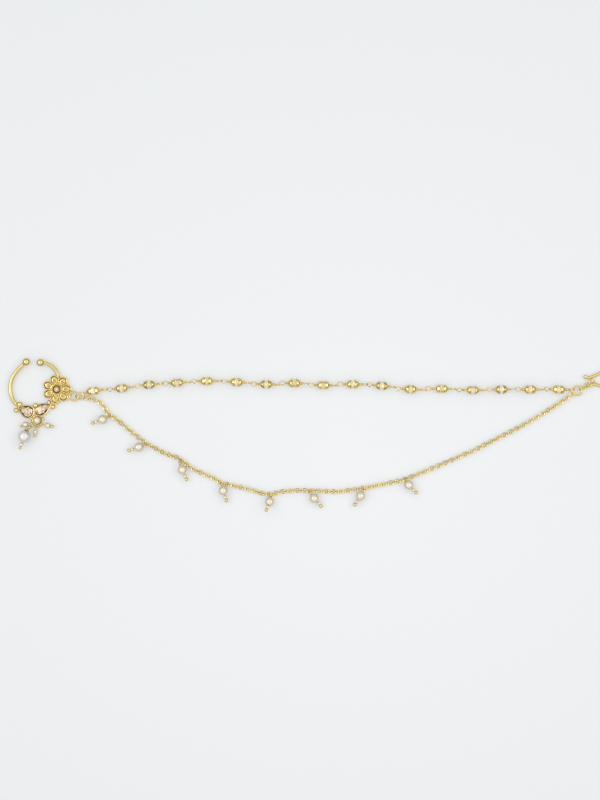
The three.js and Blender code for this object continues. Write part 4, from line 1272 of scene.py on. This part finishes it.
class NATH_OT_crystals(BuildOperator, bpy.types.Operator):
    """Make the crystal chain: faceted beads between lobed caps, on pins with eyes that hold each other"""

    bl_idname = "nath.crystals"
    bl_label = "Crystal chain"

    def build(self, sizes):
        nodes = [f"crystal_{i:02d}" for i in range(1, CRYSTAL_COUNT + 1)]
        places = [middle_of(node) for node in nodes]
        height = places[0].z / MM
        ends = [spot(*CRYSTAL_START, height), *places, spot(*CRYSTAL_END, height)]
        ways = [(c - a).normalized() for a, c in zip(ends, ends[2:])]
        beads = [(lay(p, way, 9 * i), 1.0) for i, (p, way) in enumerate(zip(places, ways))]
        made = copies_at("crystals", self.crystal(), beads, material("crystal"))
        piece("crystals", made, material("crystal"), nodes, faceted=True)

        shell = Shell()
        caps = [(lay(p, way * side, 15 * i), 1.0) for i, (p, way) in enumerate(zip(places, ways))
                for side in (-1, 1)]
        shell.add_mesh(copies_at("bead_caps", self.cap(), caps, material("gold")))
        for p, way in zip(places, ways):
            shell.add(sweep([p - way * 3.6 * MM, p, p + way * 3.6 * MM], 0.4 * MM, 8))
        self.eyes(shell, sizes, places, ways)
        shell.make_piece("bead_caps_and_eyes", "gold", ["upper_chain"])

    def crystal(self):
        """A faceted barrel with a bore: rings of (along, radius, share of a step round)."""
        sides, end, rim, bore = 8, 1.8, 1.3, 0.45

        def ring(along, radius, half):
            turns = [FULL_TURN * (i + half) / sides for i in range(sides)]
            return [Vector((along, radius * math.sin(t), radius * math.cos(t))) * MM for t in turns]

        rows = [(-end, rim, 0), (-1.0, 1.86, 0.5), (0, 2.02, 0), (1.0, 1.86, 0.5), (end, rim, 0)]
        points, faces = facets([ring(*row) for row in rows])
        shell = Shell().add((points, faces[2:]))  # without its flat ends
        points, faces = loft([ring(end, rim, 0), ring(end, bore, 0), ring(-end, bore, 0), ring(-end, rim, 0)])
        shell.add((points, faces[:-2]))
        return shell.mesh("crystal_part")

    def cap(self):
        rows = [
            (3.4, 0.36), (3.35, 0.6), (3.15, 0.74), (2.9, 0.68), (2.75, 1.0), (2.35, 1.42, 0.3),
            (1.8, 1.76, 0.6), (0.9, 2.04, 1), (0.84, 1.95, 1), (1.7, 1.66, 0.6), (2.25, 1.26, 0.3),
            (2.6, 0.6), (2.95, 0.34),
        ]
        corners, lobes = 36, 6
        # Tarnish and painted shade on the cap's inner rows.
        depth = by_row([0] * 9 + [0.55] * 4, rows, 1, corners)
        shell = Shell().add(revolve(rows, corners, lobes, reach=0.55, swell=0.05), None, depth)
        for i in range(lobes):
            turn = FULL_TURN * i / lobes
            tip = Vector((0.9, 1.86 * math.sin(turn), 1.86 * math.cos(turn))) * MM
            shell.add(ball_form(0.56, 8, 6), Matrix.Translation(tip))
        return shell.mesh("cap_part")

    def eyes(self, shell, sizes, places, ways):
        """Wire eyes on both ends of every bead, each round the next bead's eye or the ring at its end."""
        long, wide, wire = sizes.eye_length / MM, sizes.eye_width / MM, sizes.eye_wire / MM
        eye = Shell().add(wire_loop(long, wide, wire, sides=8, corners=24))
        stem = Vector((-1.6 - long / 2, 0, 0)) * MM
        eye.add(sweep([Vector((-long / 2 * MM, 0, 0)), stem], wire / 2 * MM, 8))
        wound = coil(2.4, 0.42, 0.36, 0.9)
        start = Matrix.Translation(Vector((-long / 2 - 0.95, 0, 0)) * MM)
        eye.add_mesh(wound, start @ Matrix.Rotation(math.pi / 2, 4, "Y"))
        first, last = middle_of("flower_jump_ring") + polar(14, 2.1 * MM), middle_of("end_jump_ring")
        stations = []
        for i, (place, way) in enumerate(zip(places, ways)):
            before = (place - places[i - 1]).length / 2 if i else (place - first).length
            if i + 1 < len(places):
                after = (places[i + 1] - place).length / 2
            else:
                after = (last - place).length - 1.7 * MM
            for side, half in ((-1, before), (1, after)):
                reach = half + (wire - long / 2) * MM
                along = way * side
                if i == 0 and side < 0:
                    along = (first - place).normalized()
                # Uneven steps, so that no two eyes lie alike and neighbours stand across each other.
                roll = 8 + (23 * i) % 34 if side < 0 else 62 + (17 * i) % 30
                stations.append((lay(place + along * reach, along, roll), 1.0))
        shell.add_mesh(copies_at("eyes", eye.mesh("eye_part"), stations, material("gold")))


def swag_route():
    return smooth_route([spot(x, y, SWAG_HEIGHT) for x, y in SWAG], 6)


class NATH_OT_swag(BuildOperator, bpy.types.Operator):
    """Make the cable chain of the swag, link by link along its route"""

    bl_idname = "nath.swag"
    bl_label = "Cable chain"

    def build(self, sizes):
        route = swag_route()
        mesh = bpy.data.meshes.new("swag_route")
        mesh.from_pydata([p[:] for p in route], [(i, i + 1) for i in range(len(route) - 1)], [])
        base = helper("swag_route", mesh)
        made = grown(base, tree_for("chain"), {
            "Length": sizes.link_length, "Width": sizes.link_width, "Wire": sizes.link_wire,
            "Turn": math.radians(78), "Lean": math.radians(-14), "Sway": math.radians(22), "Seed": 11,
            "Material": material("gold"),
        })
        bpy.data.objects.remove(base)
        piece("cable_chain", made, material("gold"), ["lower_chain"])


class NATH_OT_swag_pearls(BuildOperator, bpy.types.Operator):
    """Make the pearls of the swag on their headpins, and hang each from the chain"""

    bl_idname = "nath.swag_pearls"
    bl_label = "Swag pearls"

    def build(self, sizes):
        route = swag_route()
        pearls, seeds, pins = Shell(), Shell(), Shell()
        for number, (heading, rise) in enumerate(SWAG_PINS, start=1):
            middle = middle_of(f"chain_pearl_{number}")
            level = math.cos(math.radians(rise))
            along = polar(heading, level, math.sin(math.radians(rise)))
            self.drop(sizes, pearls, seeds, pins, middle, along)
            self.hang(pins, route, middle, along)
        numbers = range(1, len(SWAG_PINS) + 1)
        pearls.make_piece("swag_pearls", "pearl", [f"chain_pearl_{n}" for n in numbers])
        pins.make_piece("swag_pins", "gold", [f"chain_pin_{n}" for n in numbers])
        seeds.make_piece("swag_seeds", "pearl")

    def drop(self, sizes, pearls, seeds, pins, middle, along):
        wide, seed, ball, gap = (SWAG_DROP[key] for key in ("pearl", "seed", "ball", "gap"))
        seed_at = middle + along * (wide / 2 + gap + seed / 2) * MM
        ball_at = seed_at + along * ((seed + ball) / 2 - gap) * MM
        form = bead_form(wide, 0.7, segments=36, rows=20, lobes=3, swell=0.025)
        pearls.add_bead(form, lay(middle, along))
        seeds.add_bead(bead_form(seed, 0.52, segments=20, rows=10), lay(seed_at, along))
        pins.add(ball_form(ball, 18, 10), Matrix.Translation(ball_at))
        tail = middle - along * (wide / 2 + 0.45) * MM
        pins.add(sweep([tail, middle, ball_at], sizes.pin_wire / 2, 10))

    def hang(self, pins, route, middle, along):
        """The pin's eye, and a small link from it round the chain."""
        eye_at = middle - along * (SWAG_DROP["pearl"] / 2 + 0.9) * MM
        eye_at.z = max(eye_at.z, 0.9 * MM)
        pins.add(wire_ring(1.6, 0.4, sides=8, corners=20), lay(eye_at, along, 60))
        near = min(route, key=lambda p: (p - eye_at).length)
        gap = near - eye_at
        if gap.length > 0.5 * MM:
            long = gap.length / MM + 1.3
            link = wire_loop(long, 1.5, 0.4, sides=8, corners=22)
            pins.add(link, lay((near + eye_at) / 2, gap.normalized(), 25))


class NATH_OT_hook(BuildOperator, bpy.types.Operator):
    """Make the hair hook: a bent wire with a flared tip and an eye"""

    bl_idname = "nath.hook"
    bl_label = "Hair hook"

    def build(self, sizes):
        half = sizes.hook_wire / 2
        z = half / MM * max(HOOK_FLARE)
        points = [spot(x, y, z) for x, y in HOOK_TIP_SIDE]
        bend = spot(HOOK_BEND["x"], HOOK_BEND["y"], z)
        points += [bend + polar(turn, HOOK_BEND["radius"] * MM) for turn in range(105, -106, -30)]
        points += [spot(x, y, z) for x, y in HOOK_EYE_SIDE]
        eye_at = spot(HOOK_EYE["x"], HOOK_EYE["y"], HOOK_EYE["z"])
        route = smooth_route(points, 10)
        radii = [half] * len(route)
        for i, share in enumerate(HOOK_FLARE):
            radii[i] = half * share
        shell = Shell().add(sweep(route, radii, 20))
        outer = 2 * HOOK_EYE["radius"] + HOOK_EYE["wire"]
        turn = Matrix.Rotation(math.radians(HOOK_EYE["heading"]), 4, "Z")
        tip = Matrix.Rotation(math.radians(HOOK_EYE["tilt"]), 4, "X")
        eye = wire_ring(outer, HOOK_EYE["wire"], sides=16, corners=36)
        shell.add(eye, Matrix.Translation(eye_at) @ turn @ tip)
        shell.make_piece("hook_wire", "gold", ["hair_hook"])


class NATH_PT_panel(bpy.types.Panel):
    """Sizes, colours and the build steps of the nath"""

    bl_label = "Nath nose ring"
    bl_idname = "NATH_PT_panel"
    bl_space_type = "VIEW_3D"
    bl_region_type = "UI"
    bl_category = "Nath"

    def draw(self, context):
        layout = self.layout
        for operator in OPERATORS:
            layout.operator(operator.bl_idname)
        for settings in (context.scene.nath_sizes, context.scene.nath_colours):
            for name in settings.__annotations__:
                layout.prop(settings, name)


OPERATORS = [
    NATH_OT_stage, NATH_OT_hoop, NATH_OT_flower, NATH_OT_settings, NATH_OT_stones, NATH_OT_cup,
    NATH_OT_drops, NATH_OT_rings, NATH_OT_crystals, NATH_OT_swag, NATH_OT_swag_pearls, NATH_OT_hook,
]
CLASSES = [NathSizes, NathColours, *OPERATORS, NATH_PT_panel]


def register():
    for item in CLASSES:
        bpy.utils.register_class(item)
    bpy.types.Scene.nath_sizes = PointerProperty(type=NathSizes)
    bpy.types.Scene.nath_colours = PointerProperty(type=NathColours)


def unregister():
    del bpy.types.Scene.nath_colours
    del bpy.types.Scene.nath_sizes
    for item in reversed(CLASSES):
        bpy.utils.unregister_class(item)


def main():
    register()
    for operator in OPERATORS:
        family, name = operator.bl_idname.split(".")
        getattr(getattr(bpy.ops, family), name)()
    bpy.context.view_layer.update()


if __name__ == "__main__":
    main()
